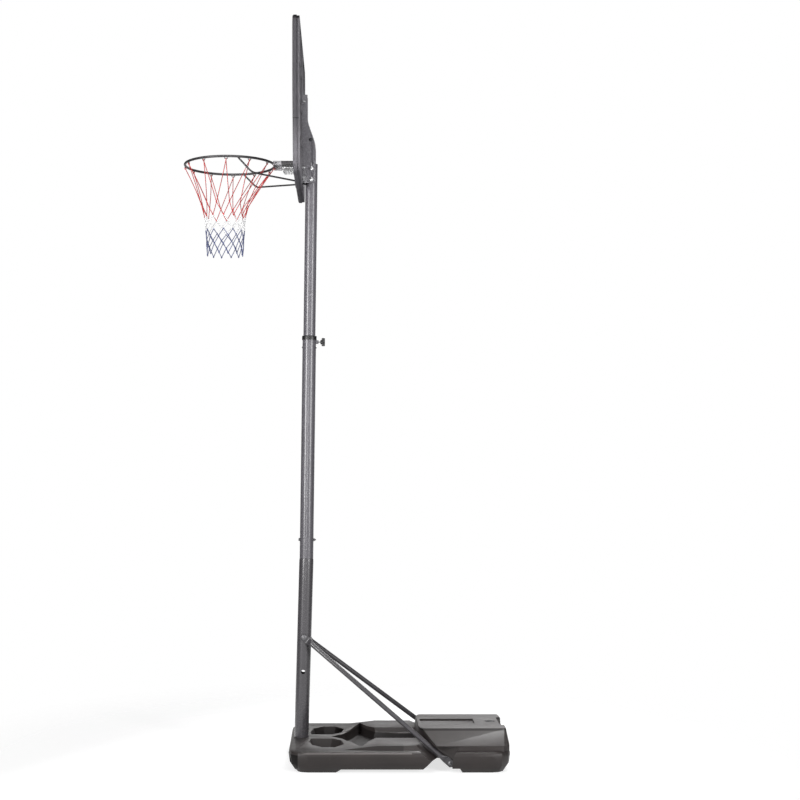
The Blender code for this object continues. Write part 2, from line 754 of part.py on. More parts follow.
def strut_line(side):
    """Top bolt, foot bolt, the strut's direction and the level normal of its plane, pointing out."""
    flat_middle = side * (LOWER_RADIUS + GAP + STRUT_FLAT / 2)
    top = Vector((lower_x(STRUT_TOP_HEIGHT), flat_middle, STRUT_TOP_HEIGHT))
    foot = Vector((base_front + STRUT_FOOT_BACK, side * strut_foot_half, STRUT_FOOT_HEIGHT))
    direction = (foot - top).normalized()
    normal = Vector((direction.y, -direction.x, 0)).normalized()
    if normal.y * side < 0:
        normal.negate()
    return top, foot, direction, normal


def strut_notch(side, grow):
    """Recess in the base's side where the strut's foot lies."""
    _, foot, direction, normal = strut_line(side)
    level = Vector((direction.x, direction.y, 0))
    fall = direction.z / level.length
    level.normalize()
    under = (STRUT_FLAT_HALF + NOTCH_UNDER) * math.hypot(1, fall)
    over = (STRUT_RADIUS + NOTCH_OVER) * math.hypot(1, fall)
    outline = [
        (-NOTCH_RUN, foot.z - fall * NOTCH_RUN - under),
        (NOTCH_END, foot.z + fall * NOTCH_END - under),
        (NOTCH_END + 0.010, foot.z + 0.024),
        (NOTCH_FLARE, NOTCH_TOP),
        ((NOTCH_TOP - foot.z - over) / fall, NOTCH_TOP),
        (-NOTCH_RUN, foot.z - fall * NOTCH_RUN + over),
    ]
    inner = -(STRUT_RADIUS + GAP + grow)
    rings = []
    for offset in (inner, BASE_WIDTH / 4):
        rings.append([foot + level * a + normal * offset + Vector((0, 0, z - foot.z))
                      for a, z in grown(outline, grow)])
    return loft('notch', rings)


def rail(side, inset):
    """Raised long panel on one side of the deck."""
    low = deck_height - OVERCUT
    rear = base_front + TANK_START + RAIL_UNDER_TANK
    full = [
        (base_front + RAIL_START - inset, low), (base_front + RAIL_START + inset, deck_height - inset),
        (base_front + RAIL_CREST + inset, deck_height + RAIL_RISE - inset),
        (rear, deck_height + RAIL_RISE - inset), (rear, low),
    ]
    rings = []
    inner = RAIL_IN + inset
    outer = BASE_WIDTH / 2 - RAIL_OUT - inset
    for y, top in ((inner, deck_height - inset), (inner + RAIL_SLOPE, 1), (outer - RAIL_SLOPE, 1),
                   (outer, deck_height - inset)):
        rings.append([(x, side * y, min(z, top)) for x, z in full])
    return loft('rail', rings)


def base_block(inset, name):
    """The base's solid form, its skin drawn in by inset, with all hollows cut."""
    levels = [
        (inset, SIDE_DRAFT + (SIDE_ROUND_IN - SIDE_DRAFT) * inset / SIDE_ROUND + inset),
        (SIDE_ROUND, SIDE_ROUND_IN + inset),
        (SIDE_TOP, inset),
        (SIDE_TOP + SHOULDER_RISE * 0.55 - inset * 0.4, SHOULDER_IN * 0.15 + inset),
        (SIDE_TOP + SHOULDER_RISE * 0.88 - inset * 0.8, SHOULDER_IN * 0.5 + inset),
        (deck_height - inset, SHOULDER_IN + inset),
    ]
    rings = []
    for height, draw in levels:
        outline = rounded_rectangle(base_front + draw, base_rear - draw, BASE_WIDTH / 2 - draw,
                                    max(BASE_CORNER - draw, 0.02), 3)
        rings.append([(x, y, height) for x, y in outline])
    block = loft(name, rings)
    start = base_front + TANK_START
    plans = []
    for nose, corner, tail, half in (
            (TANK_NOSE_LOW, TANK_CORNER_LOW, TANK_TAIL_LOW, tank_half_low),
            (TANK_NOSE_TOP + [(0.0, tank_half_top - TANK_NOSE_IN)], TANK_CORNER_TOP, TANK_TAIL_TOP, tank_half_top)):
        plans.append(mirrored([(start + back, y) for back, y in (*nose, (corner, half))]
                              + [(tank_rear - ahead, half - narrower) for ahead, narrower in tail]))
    wide, narrow = plans
    tank_levels = [
        (deck_height - 0.03, wide, -inset),
        (TANK_LEDGE - inset * 0.7, wide, -inset),
        (TANK_HEIGHT - TANK_EDGE - inset * 0.7, narrow, -inset),
        (TANK_HEIGHT - inset, narrow, -inset - TANK_EDGE),
    ]
    tank = loft('tank', [[(x, y, z) for x, y in grown(outline, spread)] for z, outline, spread in tank_levels])
    combine(block, tank, 'UNION')
    for side in (-1, 1):
        combine(block, rail(side, inset), 'UNION')
    for cutter in base_hollows(inset):
        combine(block, cutter)
    return block


def base():
    shell = base_block(0.0, 'base_shell')
    combine(shell, base_block(BASE_SKIN, 'cavity'))
    for side in (-1, 1):
        _, foot, _, normal = strut_line(side)
        seat = foot - normal * STRUT_RADIUS
        combine(shell, hole(STRUT_BOLT_RADIUS + RUN, seat + normal * 0.01, seat - normal * (BASE_SKIN + 0.002)))
    combine(shell, rod('filler', FILLER_HOLE, (filler_x, 0, TANK_HEIGHT - 0.03), (filler_x, 0, TANK_HEIGHT + 0.01), 20))
    node(shell, 'base_shell', 'base_plastic', sharp=30)
    fill = base_block(BASE_SKIN + GAP, 'ballast_fill')
    for side in (-1, 1):
        _, foot, _, normal = strut_line(side)
        seat = foot - normal * STRUT_RADIUS
        combine(fill, rod('insert_way', BOLT_FLANGE + GAP, seat + normal * 0.01,
                          seat - normal * (STRUT_FOOT_BOLT_LENGTH + 0.004), 20))
    combine(fill, box('air', (base_front - OVERCUT, -BASE_WIDTH, TANK_HEIGHT - FILL_AIR),
                      (base_rear + OVERCUT, BASE_WIDTH, TANK_HEIGHT + OVERCUT)))
    node(fill, 'ballast_fill', 'fill_water', sharp=30)


def filler_cap():
    seat = TANK_HEIGHT - FILLER_SEAT_DEPTH + GAP
    plug = FILLER_HOLE - RUN
    cap = turned('filler_cap', [
        (0, -CAP_PLUG), (plug - 0.002, -CAP_PLUG), (plug, -CAP_PLUG + 0.002), (plug, 0),
        (CAP_RADIUS, 0), (CAP_RADIUS, CAP_THICKNESS * 0.7), (CAP_RADIUS - 0.0015, CAP_THICKNESS),
        (0, CAP_THICKNESS),
    ], 20, closed=False)
    grip = rounded_rectangle(-CAP_RADIUS * 0.7, CAP_RADIUS * 0.7, 0.003, 0.0025, 3)
    combine(cap, prism('grip', grip, CAP_THICKNESS / 2, CAP_GRIP_HEIGHT, 'Z'), 'UNION')
    move(cap, Matrix.Translation((filler_x, 0, seat)))
    node(cap, 'filler_cap', 'black_plastic', origin=(filler_x, 0, seat))


def wheels():
    axle_x = lower_x(WHEEL_AXIS_HEIGHT)
    outer_face = wheel_half_track + WHEEL_WIDTH / 2
    tip = outer_face + AXLE_CAP_LENGTH - 0.001
    axle = rod('wheel_axle', AXLE_RADIUS, (axle_x, -tip, WHEEL_AXIS_HEIGHT), (axle_x, tip, WHEEL_AXIS_HEIGHT), 20)
    node(axle, 'wheel_axle', 'zinc')
    half = WHEEL_WIDTH / 2
    bore = AXLE_RADIUS + RUN
    profile = [
        (bore, -half), (bore + 0.007, -half), (bore + 0.009, -half * 0.55),
        (WHEEL_RADIUS - 0.012, -half * 0.55), (WHEEL_RADIUS - 0.009, -half * 0.9),
        (WHEEL_RADIUS, -half * 0.6),
    ]
    profile += [(radius, -height) for radius, height in profile[::-1]]
    for side, name in ((-1, 'left'), (1, 'right')):
        place = Vector((axle_x, side * wheel_half_track, WHEEL_AXIS_HEIGHT))
        wheel = turned('wheel_' + name, profile, 18)
        move(wheel, facing((0, 1, 0), place))
        node(wheel, 'wheel_' + name, 'wheel_plastic', origin=place)
        seat = Vector((axle_x, side * (outer_face + GAP), WHEEL_AXIS_HEIGHT))
        cap = turned('axle_cap_' + name, [
            (bore, 0), (AXLE_CAP_RADIUS, 0), (AXLE_CAP_RADIUS, AXLE_CAP_LENGTH * 0.4),
            (AXLE_CAP_RADIUS * 0.8, AXLE_CAP_LENGTH), (0, AXLE_CAP_LENGTH), (0, AXLE_CAP_LENGTH - 0.0007),
            (bore, AXLE_CAP_LENGTH - 0.0007),
        ], 12)
        move(cap, facing((0, side, 0), seat))
        node(cap, 'axle_cap_' + name, 'zinc')


# Mast

def lower_pole():
    lean = Vector((math.sin(LOWER_LEAN), 0, math.cos(LOWER_LEAN)))
    mast = Vector((math.sin(MAST_LEAN), 0, math.cos(MAST_LEAN)))
    joint = Vector((joint_x, 0, JOINT_HEIGHT))
    neck = middle_bore - GAP
    shoulder = joint - mast * GAP
    foot = Vector((lower_x(FOOT_HEIGHT), 0, FOOT_HEIGHT))
    sections = [
        (foot, lean, LOWER_RADIUS, LOWER_RADIUS - TUBE_WALL),
        (joint - lean * (NECK_TAPER + GAP), lean, LOWER_RADIUS, LOWER_RADIUS - TUBE_WALL),
        (shoulder - mast * 0.001, mast, LOWER_RADIUS - 0.0015, neck - TUBE_WALL),
        (shoulder, mast, neck, neck - TUBE_WALL),
        (joint + mast * NECK_LENGTH, mast, neck, neck - TUBE_WALL),
    ]
    pole = pipe('lower_pole', sections)
    crossing = LOWER_RADIUS + 0.01
    for height, radius in ((WHEEL_AXIS_HEIGHT, AXLE_RADIUS + RUN), (STRUT_TOP_HEIGHT, STRUT_BOLT_RADIUS + RUN)):
        combine(pole, hole(radius, (lower_x(height), -crossing, height), (lower_x(height), crossing, height)))
    sight = Vector((lower_x(SIGHT_HOLE_HEIGHT), 0, SIGHT_HOLE_HEIGHT))
    through = Vector((0, crossing, 0))
    combine(pole, rod('sight_hole', SIGHT_HOLE_RADIUS, sight - through, sight + through, 20))
    across = Vector((math.cos(MAST_LEAN), 0, -math.sin(MAST_LEAN)))
    centre = joint + mast * JOINT_BOLT_RISE
    combine(pole, hole(JOINT_BOLT_RADIUS + RUN, centre - across * crossing,
                      centre + across * crossing))
    node(pole, 'lower_pole', 'mast_paint')


def middle_pole(frame):
    top = along_mast(COLLAR_HEIGHT)
    pole = pipe('middle_pole', [
        ((0, 0, 0), (0, 0, 1), MIDDLE_RADIUS, middle_bore),
        ((0, 0, top), (0, 0, 1), MIDDLE_RADIUS, middle_bore),
    ])
    reach = MIDDLE_RADIUS + 0.01
    bolt_height = JOINT_BOLT_RISE
    combine(pole, hole(JOINT_BOLT_RADIUS + RUN, (-reach, 0, bolt_height), (reach, 0, bolt_height)))
    screw = along_mast(screw_height)
    combine(pole, hole(SCREW_RADIUS + RUN, (-reach, 0, screw), (reach, 0, screw)))
    clamp = along_mast(clamp_height)
    combine(pole, hole(CLAMP_STUD_RADIUS + RUN, (0, 0, clamp), (reach, 0, clamp)))
    node(pole, 'middle_pole', 'mast_paint', frame)
    seat = MIDDLE_RADIUS + GAP
    length = 2 * seat + NUT_HEIGHT + BOLT_TAIL
    joint_bolt = bolt('pole_joint_bolt', length, JOINT_BOLT_RADIUS)
    move(joint_bolt, facing((1, 0, 0), (-seat, 0, bolt_height)))
    node(joint_bolt, 'pole_joint_bolt', 'zinc', frame)
    joint_nut = nut('pole_joint_nut', JOINT_BOLT_RADIUS + RUN)
    move(joint_nut, facing((1, 0, 0), (seat, 0, bolt_height)))
    node(joint_nut, 'pole_joint_nut', 'zinc', frame)


def collar(frame):
    top = along_mast(COLLAR_HEIGHT)
    bore = UPPER_RADIUS + SLIDE
    outer = MIDDLE_RADIUS + GAP + COLLAR_WALL
    piece = turned('pole_collar', [
        (bore, top - COLLAR_SKIRT_IN), (middle_bore - GAP, top - COLLAR_SKIRT_IN),
        (middle_bore - GAP, top + GAP), (MIDDLE_RADIUS + GAP, top + GAP),
        (MIDDLE_RADIUS + GAP, top - COLLAR_SKIRT_OUT), (outer, top - COLLAR_SKIRT_OUT),
        (outer, top + COLLAR_LIP - 0.003), (outer - 0.003, top + COLLAR_LIP), (bore, top + COLLAR_LIP),
    ], 24)
    reach = MIDDLE_RADIUS
    screw = along_mast(screw_height)
    combine(piece, hole(SCREW_RADIUS + RUN, (-reach, 0, screw), (reach, 0, screw)))
    clamp = along_mast(clamp_height)
    combine(piece, hole(CLAMP_STUD_RADIUS + RUN, (0, 0, clamp), (reach, 0, clamp)))
    node(piece, 'pole_collar', 'black_plastic', frame)
    for side, name in ((-1, 'front'), (1, 'rear')):
        start = MIDDLE_RADIUS + GAP
        length = start - bore - 2 * GAP
        screw_piece = dome_bolt('collar_screw', length, SCREW_RADIUS, SCREW_HEAD_RADIUS, SCREW_HEAD)
        move(screw_piece, facing((-side, 0, 0), (side * start, 0, screw)))
        node(screw_piece, 'collar_screw_' + name, 'zinc', frame)


def clamp(frame):
    height = along_mast(clamp_height)
    bore = CLAMP_STUD_RADIUS + RUN
    seat = MIDDLE_RADIUS + GAP
    boss = turned('clamp_boss', [
        (bore, -0.003), (CLAMP_BOSS_RADIUS, -0.003), (CLAMP_BOSS_RADIUS, CLAMP_BOSS_LENGTH - 0.001),
        (CLAMP_BOSS_RADIUS - 0.001, CLAMP_BOSS_LENGTH), (bore, CLAMP_BOSS_LENGTH),
    ], 24)
    move(boss, facing((1, 0, 0), (seat, 0, height)))
    combine(boss, rod('saddle', seat, (0, 0, height - 0.05), (0, 0, height + 0.05), 32))
    node(boss, 'clamp_boss', 'mast_paint', frame)
    tip = UPPER_RADIUS + GAP
    stud = turned('clamp_stud', [
        (0, 0), (CLAMP_STUD_RADIUS - 0.001, 0), (CLAMP_STUD_RADIUS, 0.001),
        (CLAMP_STUD_RADIUS, CLAMP_STUD_LENGTH), (0, CLAMP_STUD_LENGTH),
    ], 20, closed=False)
    move(stud, facing((1, 0, 0), (tip, 0, height)))
    node(stud, 'clamp_stud', 'zinc', frame, origin=(tip, 0, height))
    hub_start = seat + CLAMP_BOSS_LENGTH + KNOB_STANDOFF
    bore_end = tip + CLAMP_STUD_LENGTH + GAP - hub_start
    count = KNOB_LOBES * 6
    outlines = []
    for size, level in ((0.90, 0), (1.0, 0.003), (1.0, KNOB_WIDTH - 0.003), (0.86, KNOB_WIDTH)):
        ring = []
        for step in range(count):
            angle = math.tau * step / count
            radius = (KNOB_RADIUS - KNOB_WAVE + KNOB_WAVE * math.cos(KNOB_LOBES * angle)) * size
            ring.append((radius * math.cos(angle), radius * math.sin(angle), KNOB_HUB_LENGTH + level))
        outlines.append(ring)
    knob = loft('clamp_knob', outlines)
    combine(knob, rod('hub', KNOB_HUB_RADIUS, (0, 0, 0), (0, 0, KNOB_HUB_LENGTH + 0.004), 24), 'UNION')
    combine(knob, rod('bore', bore, (0, 0, -0.01), (0, 0, bore_end), 20))
    move(knob, facing((1, 0, 0), (hub_start, 0, height)))
    node(knob, 'clamp_knob', 'black_plastic', frame, origin=(hub_start, 0, height))


def upper_pole(frame):
    low = along_mast(COLLAR_HEIGHT) - UPPER_INSERTION
    high = along_mast(MAST_HEIGHT)
    inner = UPPER_RADIUS - TUBE_WALL
    pole = pipe('upper_pole', [
        ((0, 0, low), (0, 0, 1), UPPER_RADIUS, inner),
        ((0, 0, high), (0, 0, 1), UPPER_RADIUS, inner),
    ])
    reach = UPPER_RADIUS + 0.01
    for height in (BRACKET_BOLT_HIGH, BRACKET_BOLT_LOW):
        level = along_mast(height)
        combine(pole, hole(M8_RADIUS + RUN, (0, -reach, level), (0, reach, level)))
    node(pole, 'upper_pole', 'mast_paint', frame)
    cap = turned('pole_top_cap', [
        (0, high - TOP_CAP_PLUG), (inner - GAP, high - TOP_CAP_PLUG), (inner - GAP, high + GAP),
        (UPPER_RADIUS, high + GAP), (UPPER_RADIUS, high + TOP_CAP_LIP * 0.6),
        (UPPER_RADIUS * 0.93, high + TOP_CAP_LIP), (0, high + TOP_CAP_LIP),
    ], 24, closed=False)
    node(cap, 'pole_top_cap', 'black_plastic', frame)


# Struts

def strut_section(centre, wide, thick, half_wide, half_thick, roundness):
    """Ten points between a flat bar's outline and a circle's."""
    points = []
    for step in range(10):
        angle = math.tau * step / 10
        round_a, round_b = math.cos(angle), math.sin(angle)
        flat_a = max(-1.0, min(1.0, 1.12 * round_a))
        flat_b = 0.0 if abs(round_b) < 1e-6 else math.copysign(1.0, round_b)
        a = flat_a + (round_a - flat_a) * roundness
        b = flat_b + (round_b - flat_b) * roundness
        points.append(centre + wide * (a * half_wide) + thick * (b * half_thick))
    return points


def struts():
    for side, name in ((-1, 'left'), (1, 'right')):
        top, foot, _, _ = strut_line(side)
        run = Vector((foot.x - top.x, 0, foot.z - top.z)).normalized()
        bend = top + run * STRUT_FLAT_RUN
        _, _, direction, normal = strut_line(side)
        shift = normal * (STRUT_RADIUS - STRUT_FLAT / 2)
        across = Vector((0, side, 0))
        wide_top = run.cross(across)
        wide = direction.cross(normal)
        line_start = bend + across * 0.006 + direction * STRUT_SWELL
        line_end = foot - direction * (STRUT_FLAT_RUN + STRUT_SWELL)
        half_flat = STRUT_FLAT / 2
        rings = [
            strut_section(top - run * STRUT_END, wide_top, across, STRUT_FLAT_HALF * 0.7, half_flat, 0),
            strut_section(top - run * STRUT_END * 0.7, wide_top, across, STRUT_FLAT_HALF, half_flat, 0),
            strut_section(bend, wide_top, across, STRUT_FLAT_HALF, half_flat, 0),
            strut_section(line_start.lerp(bend, 0.5) + across * 0.002, wide, normal, STRUT_FLAT_HALF * 0.86,
                          STRUT_RADIUS * 0.6, 0.6),
            strut_section(line_start, wide, normal, STRUT_RADIUS, STRUT_RADIUS, 1),
            strut_section(line_end, wide, normal, STRUT_RADIUS, STRUT_RADIUS, 1),
            strut_section(foot - direction * (STRUT_FLAT_RUN + STRUT_SWELL / 2) - shift * 0.45, wide, normal,
                          STRUT_FLAT_HALF * 0.86, STRUT_RADIUS * 0.55, 0.6),
            strut_section(foot - direction * STRUT_FLAT_RUN - shift, wide, normal, STRUT_FLAT_HALF, half_flat, 0),
            strut_section(foot + direction * STRUT_END * 0.7 - shift, wide, normal, STRUT_FLAT_HALF, half_flat, 0),
            strut_section(foot + direction * STRUT_END - shift, wide, normal, STRUT_FLAT_HALF * 0.7, half_flat, 0),
        ]
        piece = loft('strut_' + name, rings)
        inner = STRUT_RADIUS - STRUT_WALL
        combine(piece, loft('inside', [
            strut_section(end, wide, normal, inner, inner, 1) for end in (line_start, line_end)
        ]))
        drain = line_end - direction * STRUT_RADIUS * 2
        combine(piece, rod('drain', STRUT_VENT, drain, drain - wide * side * STRUT_RADIUS * 1.5, 8))
        for centre, way in ((top, across), (foot, normal)):
            combine(piece, hole(STRUT_BOLT_RADIUS + RUN, centre - way * 0.03, centre + way * 0.03))
        node(piece, 'strut_' + name, 'mast_paint')
        seat = foot - normal * (STRUT_RADIUS - STRUT_FLAT - GAP)
        foot_bolt = bolt('strut_foot_bolt', STRUT_FOOT_BOLT_LENGTH, STRUT_BOLT_RADIUS)
        move(foot_bolt, facing(-normal, seat))
        node(foot_bolt, 'strut_foot_bolt_' + name, 'zinc')
    top, _, _, _ = strut_line(-1)
    seat = LOWER_RADIUS + STRUT_FLAT + 2 * GAP
    top_bolt = bolt('strut_top_bolt', 2 * seat + NUT_HEIGHT + BOLT_TAIL, STRUT_BOLT_RADIUS, 0.0125)
    move(top_bolt, facing((0, 1, 0), (top.x, -seat, STRUT_TOP_HEIGHT)))
    node(top_bolt, 'strut_top_bolt', 'zinc')
    top_nut = nut('strut_top_nut', STRUT_BOLT_RADIUS + RUN, NUT_HEIGHT, 0.0125)
    move(top_nut, facing((0, 1, 0), (top.x, seat, STRUT_TOP_HEIGHT)))
    node(top_nut, 'strut_top_nut', 'zinc')


# Board and bracket

def board_outline(inset):
    """Outline in Y and Z, sides drawn in towards the bottom, anticlockwise seen from +X."""
    corner = BOARD_CORNER - inset
    top, bottom = BOARD_TOP - inset, BOARD_BOTTOM + inset
    wide, narrow = BOARD_HALF_TOP - inset, BOARD_HALF_BOTTOM - inset
    return rounded_outline([
        (wide, top, corner), (-wide, top, corner), (-wide, BOARD_TAPER_HEIGHT, 0.5),
        (-narrow, bottom, corner), (narrow, bottom, corner), (wide, BOARD_TAPER_HEIGHT, 0.5),
    ])


def board_half(height):
    """Half-width of the board at a height."""
    if height >= BOARD_TAPER_HEIGHT:
        return BOARD_HALF_TOP
    share = (height - BOARD_BOTTOM) / (BOARD_TAPER_HEIGHT - BOARD_BOTTOM)
    return BOARD_HALF_BOTTOM + (BOARD_HALF_TOP - BOARD_HALF_BOTTOM) * share


def board_holes(piece, low, high):
    places = [(BOARD_BOLT_Y, height) for height in (BOARD_BOLT_LOW, SPRING_HEIGHT, BOARD_BOLT_HIGH)]
    for y, height in places:
        for side in (-1, 1):
            combine(piece, hole(M8_RADIUS + RUN, (low, side * y, height), (high, side * y, height)))


def board(frame):
    rings = []
    for x, inset in ((board_face, PANEL_CHAMFER), (board_face + PANEL_CHAMFER, 0.0),
                     (board_face + PANEL_THICKNESS, 0.0)):
        rings.append([(x, y, z) for y, z in board_outline(inset)])
    panel = loft('backboard_panel', rings)
    low, high = BOARD_BOTTOM + PANEL_RIM, BOARD_TOP - PANEL_RIM
    narrow, wide = BOARD_HALF_BOTTOM - PANEL_RIM, BOARD_HALF_TOP - PANEL_RIM
    cut = BOARD_CORNER / 2
    for side in (-1, 1):
        hollow = [
            (side * FRAME_SPINE_HALF, low), (side * (narrow - cut), low), (side * narrow, low + cut),
            (side * wide, BOARD_TAPER_HEIGHT), (side * wide, high - cut), (side * (wide - cut), high),
            (side * FRAME_SPINE_HALF, high),
        ]
        combine(panel, prism('hollow', hollow, board_face + PANEL_SKIN, board_back, 'X'))
    board_holes(panel, board_face - 0.01, board_back + 0.01)
    node(panel, 'backboard_panel', 'board_plastic', frame, sharp=30)

    outline = board_outline(FRAME_INSET)
    rear = prism('backboard_frame', outline, frame_front, board_back, 'X')
    low, high = BOARD_BOTTOM + FRAME_RIM, BOARD_TOP - FRAME_RIM
    tall = (high - low - FRAME_RIB * (FRAME_ROWS - 1)) / FRAME_ROWS
    for row in range(FRAME_ROWS):
        start = low + row * (tall + FRAME_RIB)
        edge = min(board_half(start), board_half(start + tall)) - FRAME_RIM
        if row in (0, FRAME_ROWS - 1):
            edge -= BOARD_CORNER * 0.3
        wide = (edge - FRAME_SPINE_HALF - FRAME_RIB * (FRAME_COLUMNS - 1)) / FRAME_COLUMNS
        for column in range(FRAME_COLUMNS):
            inner = FRAME_SPINE_HALF + column * (wide + FRAME_RIB)
            for side in (-1, 1):
                ends = sorted((side * inner, side * (inner + wide)))
                combine(rear, box('pocket', (frame_front - 0.01, ends[0], start),
                                  (board_back + 0.01, ends[1], start + tall)))
    board_holes(rear, board_face - 0.01, board_back + 0.01)
    node(rear, 'backboard_frame', 'board_plastic', frame, sharp=30)


def bracket(frame):
    front = board_back + GAP
    outline = [(front, BRACKET_BOTTOM), (board_back + BRACKET_DEPTH, BRACKET_BOTTOM)]
    for step in range(9):
        t = step / 8
        height = BRACKET_CURVE + (BRACKET_STEP - BRACKET_CURVE) * t
        ease = t * t * (3 - 2 * t)
        outline.append((board_back + BRACKET_DEPTH + (BRACKET_DEPTH_TOP - BRACKET_DEPTH) * ease, height))
    outline += [(board_back + BRACKET_DEPTH_TOP, BRACKET_TOP), (front, BRACKET_TOP)]
    tie = (board_back + TIE_BOLT_BACK, TIE_BOLT_HEIGHT)
    crossings = [(mast_x(height), height) for height in (BRACKET_BOLT_HIGH, BRACKET_BOLT_LOW)] + [tie]
    for side, name in ((-1, 'left'), (1, 'right')):
        ends = sorted((side * plate_inner, side * (plate_inner + PLATE_THICKNESS)))
        plate = prism('bracket_plate_' + name, outline, ends[0], ends[1], 'Y')
        ends = sorted((side * plate_inner, side * (plate_inner + PLATE_FLANGE)))
        flange = box('flange', (front, ends[0], BRACKET_BOTTOM), (front + PLATE_THICKNESS, ends[1], BRACKET_TOP))
        combine(plate, flange, 'UNION')
        reach = plate_inner + PLATE_THICKNESS + 0.01
        for x, z in crossings:
            combine(plate, hole(M8_RADIUS + RUN, (x, 0, z), (x, side * reach, z)))
        for height in (BOARD_BOLT_LOW, SPRING_HEIGHT, BOARD_BOLT_HIGH):
            y = side * BOARD_BOLT_Y
            combine(plate, hole(M8_RADIUS + RUN, (front - 0.01, y, height), (front + 0.02, y, height)))
        node(plate, 'bracket_plate_' + name, 'mast_paint', frame)
    seat = plate_inner + PLATE_THICKNESS + GAP
    length = 2 * seat + NUT_HEIGHT + BOLT_TAIL
    for (x, z), name, look in zip(crossings, ('bracket_bolt_upper', 'bracket_bolt_lower', 'bracket_tie_bolt'),
                                  ('zinc', 'zinc', 'black_steel')):
        piece = bolt(name, length)
        move(piece, facing((0, 1, 0), (x, -seat, z)))
        node(piece, name, look, frame)
        piece = nut(name + '_nut')
        move(piece, facing((0, 1, 0), (x, seat, z)))
        node(piece, name + '_nut', look, frame)


def board_bolts(frame):
    rear_seat = board_back + GAP + PLATE_THICKNESS + GAP
    face = board_face - GAP
    for height, level in ((BOARD_BOLT_LOW, 'lower'), (BOARD_BOLT_HIGH, 'upper')):
        for side, name in ((-1, 'left'), (1, 'right')):
            label = level + '_' + name
            piece = dome_bolt('board_bolt', rear_seat - face + NUT_HEIGHT + BOLT_TAIL)
            move(piece, facing((1, 0, 0), (face, side * BOARD_BOLT_Y, height)))
            node(piece, 'board_bolt_' + label, 'zinc', frame)
            piece = nut('board_nut')
            move(piece, facing((1, 0, 0), (rear_seat, side * BOARD_BOLT_Y, height)))
            node(piece, 'board_nut_' + label, 'zinc', frame)


# Rim and its sprung mounting

def spring_path(side):
    """Centreline of a spring, and the least air between its turns."""
    low = rim_plate_front - GAP - SPRING_WIRE
    length = SPRING_LENGTH - 2 * (SPRING_WIRE + GAP)
    points = []
    steps = SPRING_TURNS * SPRING_POINTS
    for step in range(steps + 1):
        angle = math.tau * step / SPRING_POINTS
        x = low - length * step / steps
        points.append(Vector((x, side * BOARD_BOLT_Y + SPRING_RADIUS * math.cos(angle),
                              SPRING_HEIGHT + SPRING_RADIUS * math.sin(angle))))
    apart = min((points[i] - points[j]).length for i in range(steps) for j in range(i + SPRING_POINTS // 2, steps))
    return points, apart - 2 * SPRING_WIRE


def tube_curve(name, points, radius, resolution):
    """Curve with a round bevel and closed ends, made into a mesh."""
    curve = bpy.data.curves.new(name, 'CURVE')
    curve.dimensions = '3D'
    curve.bevel_depth = radius
    curve.bevel_resolution = resolution
    curve.use_fill_caps = True
    spline = curve.splines.new('POLY')
    spline.points.add(len(points) - 1)
    for place, point in zip(spline.points, points):
        place.co = (*point, 1)
    holder = bpy.data.objects.new(name, curve)
    bpy.context.collection.objects.link(holder)
    bpy.context.view_layer.update()
    evaluated = holder.evaluated_get(bpy.context.evaluated_depsgraph_get())
    mesh = bpy.data.meshes.new_from_object(evaluated)
    bpy.data.objects.remove(holder)
    bpy.data.curves.remove(curve)
    item = bpy.data.objects.new(name, mesh)
    bpy.context.collection.objects.link(item)
    return outward(item)


def springs(frame):
    rear_seat = board_back + GAP + PLATE_THICKNESS + GAP
    washer_seat = rim_plate_front - SPRING_LENGTH
    head_seat = washer_seat - WASHER_THICKNESS - GAP
    for side, name in ((-1, 'left'), (1, 'right')):
        points, air = spring_path(side)
        print('rim spring', name, 'least gap between turns', round(air * 1000, 2), 'mm')
        node(tube_curve('rim_spring', points, SPRING_WIRE, 1), 'rim_spring_' + name, 'zinc', frame)
        y = side * BOARD_BOLT_Y
        washer = turned('spring_washer', [
            (M8_RADIUS + RUN, 0), (WASHER_RADIUS, 0), (WASHER_RADIUS, WASHER_THICKNESS),
            (M8_RADIUS + RUN, WASHER_THICKNESS),
        ], 16)
        move(washer, facing((-1, 0, 0), (washer_seat, y, SPRING_HEIGHT)))
        node(washer, 'spring_washer_' + name, 'zinc', frame)
        piece = bolt('spring_bolt', rear_seat - head_seat + NUT_HEIGHT + BOLT_TAIL)
        move(piece, facing((1, 0, 0), (head_seat, y, SPRING_HEIGHT)))
        node(piece, 'spring_bolt_' + name, 'zinc', frame)
        piece = nut('spring_nut')
        move(piece, facing((1, 0, 0), (rear_seat, y, SPRING_HEIGHT)))
        node(piece, 'spring_nut_' + name, 'zinc', frame)


def ring_torus(name, radius, steps=32, sides=8):
    profile = []
    for step in range(sides):
        angle = math.tau * step / sides
        profile.append((ring_radius + radius * math.cos(angle), radius * math.sin(angle)))
    item = turned(name, profile, steps)
    return move(item, Matrix.Translation((ring_x, 0, ring_height)))


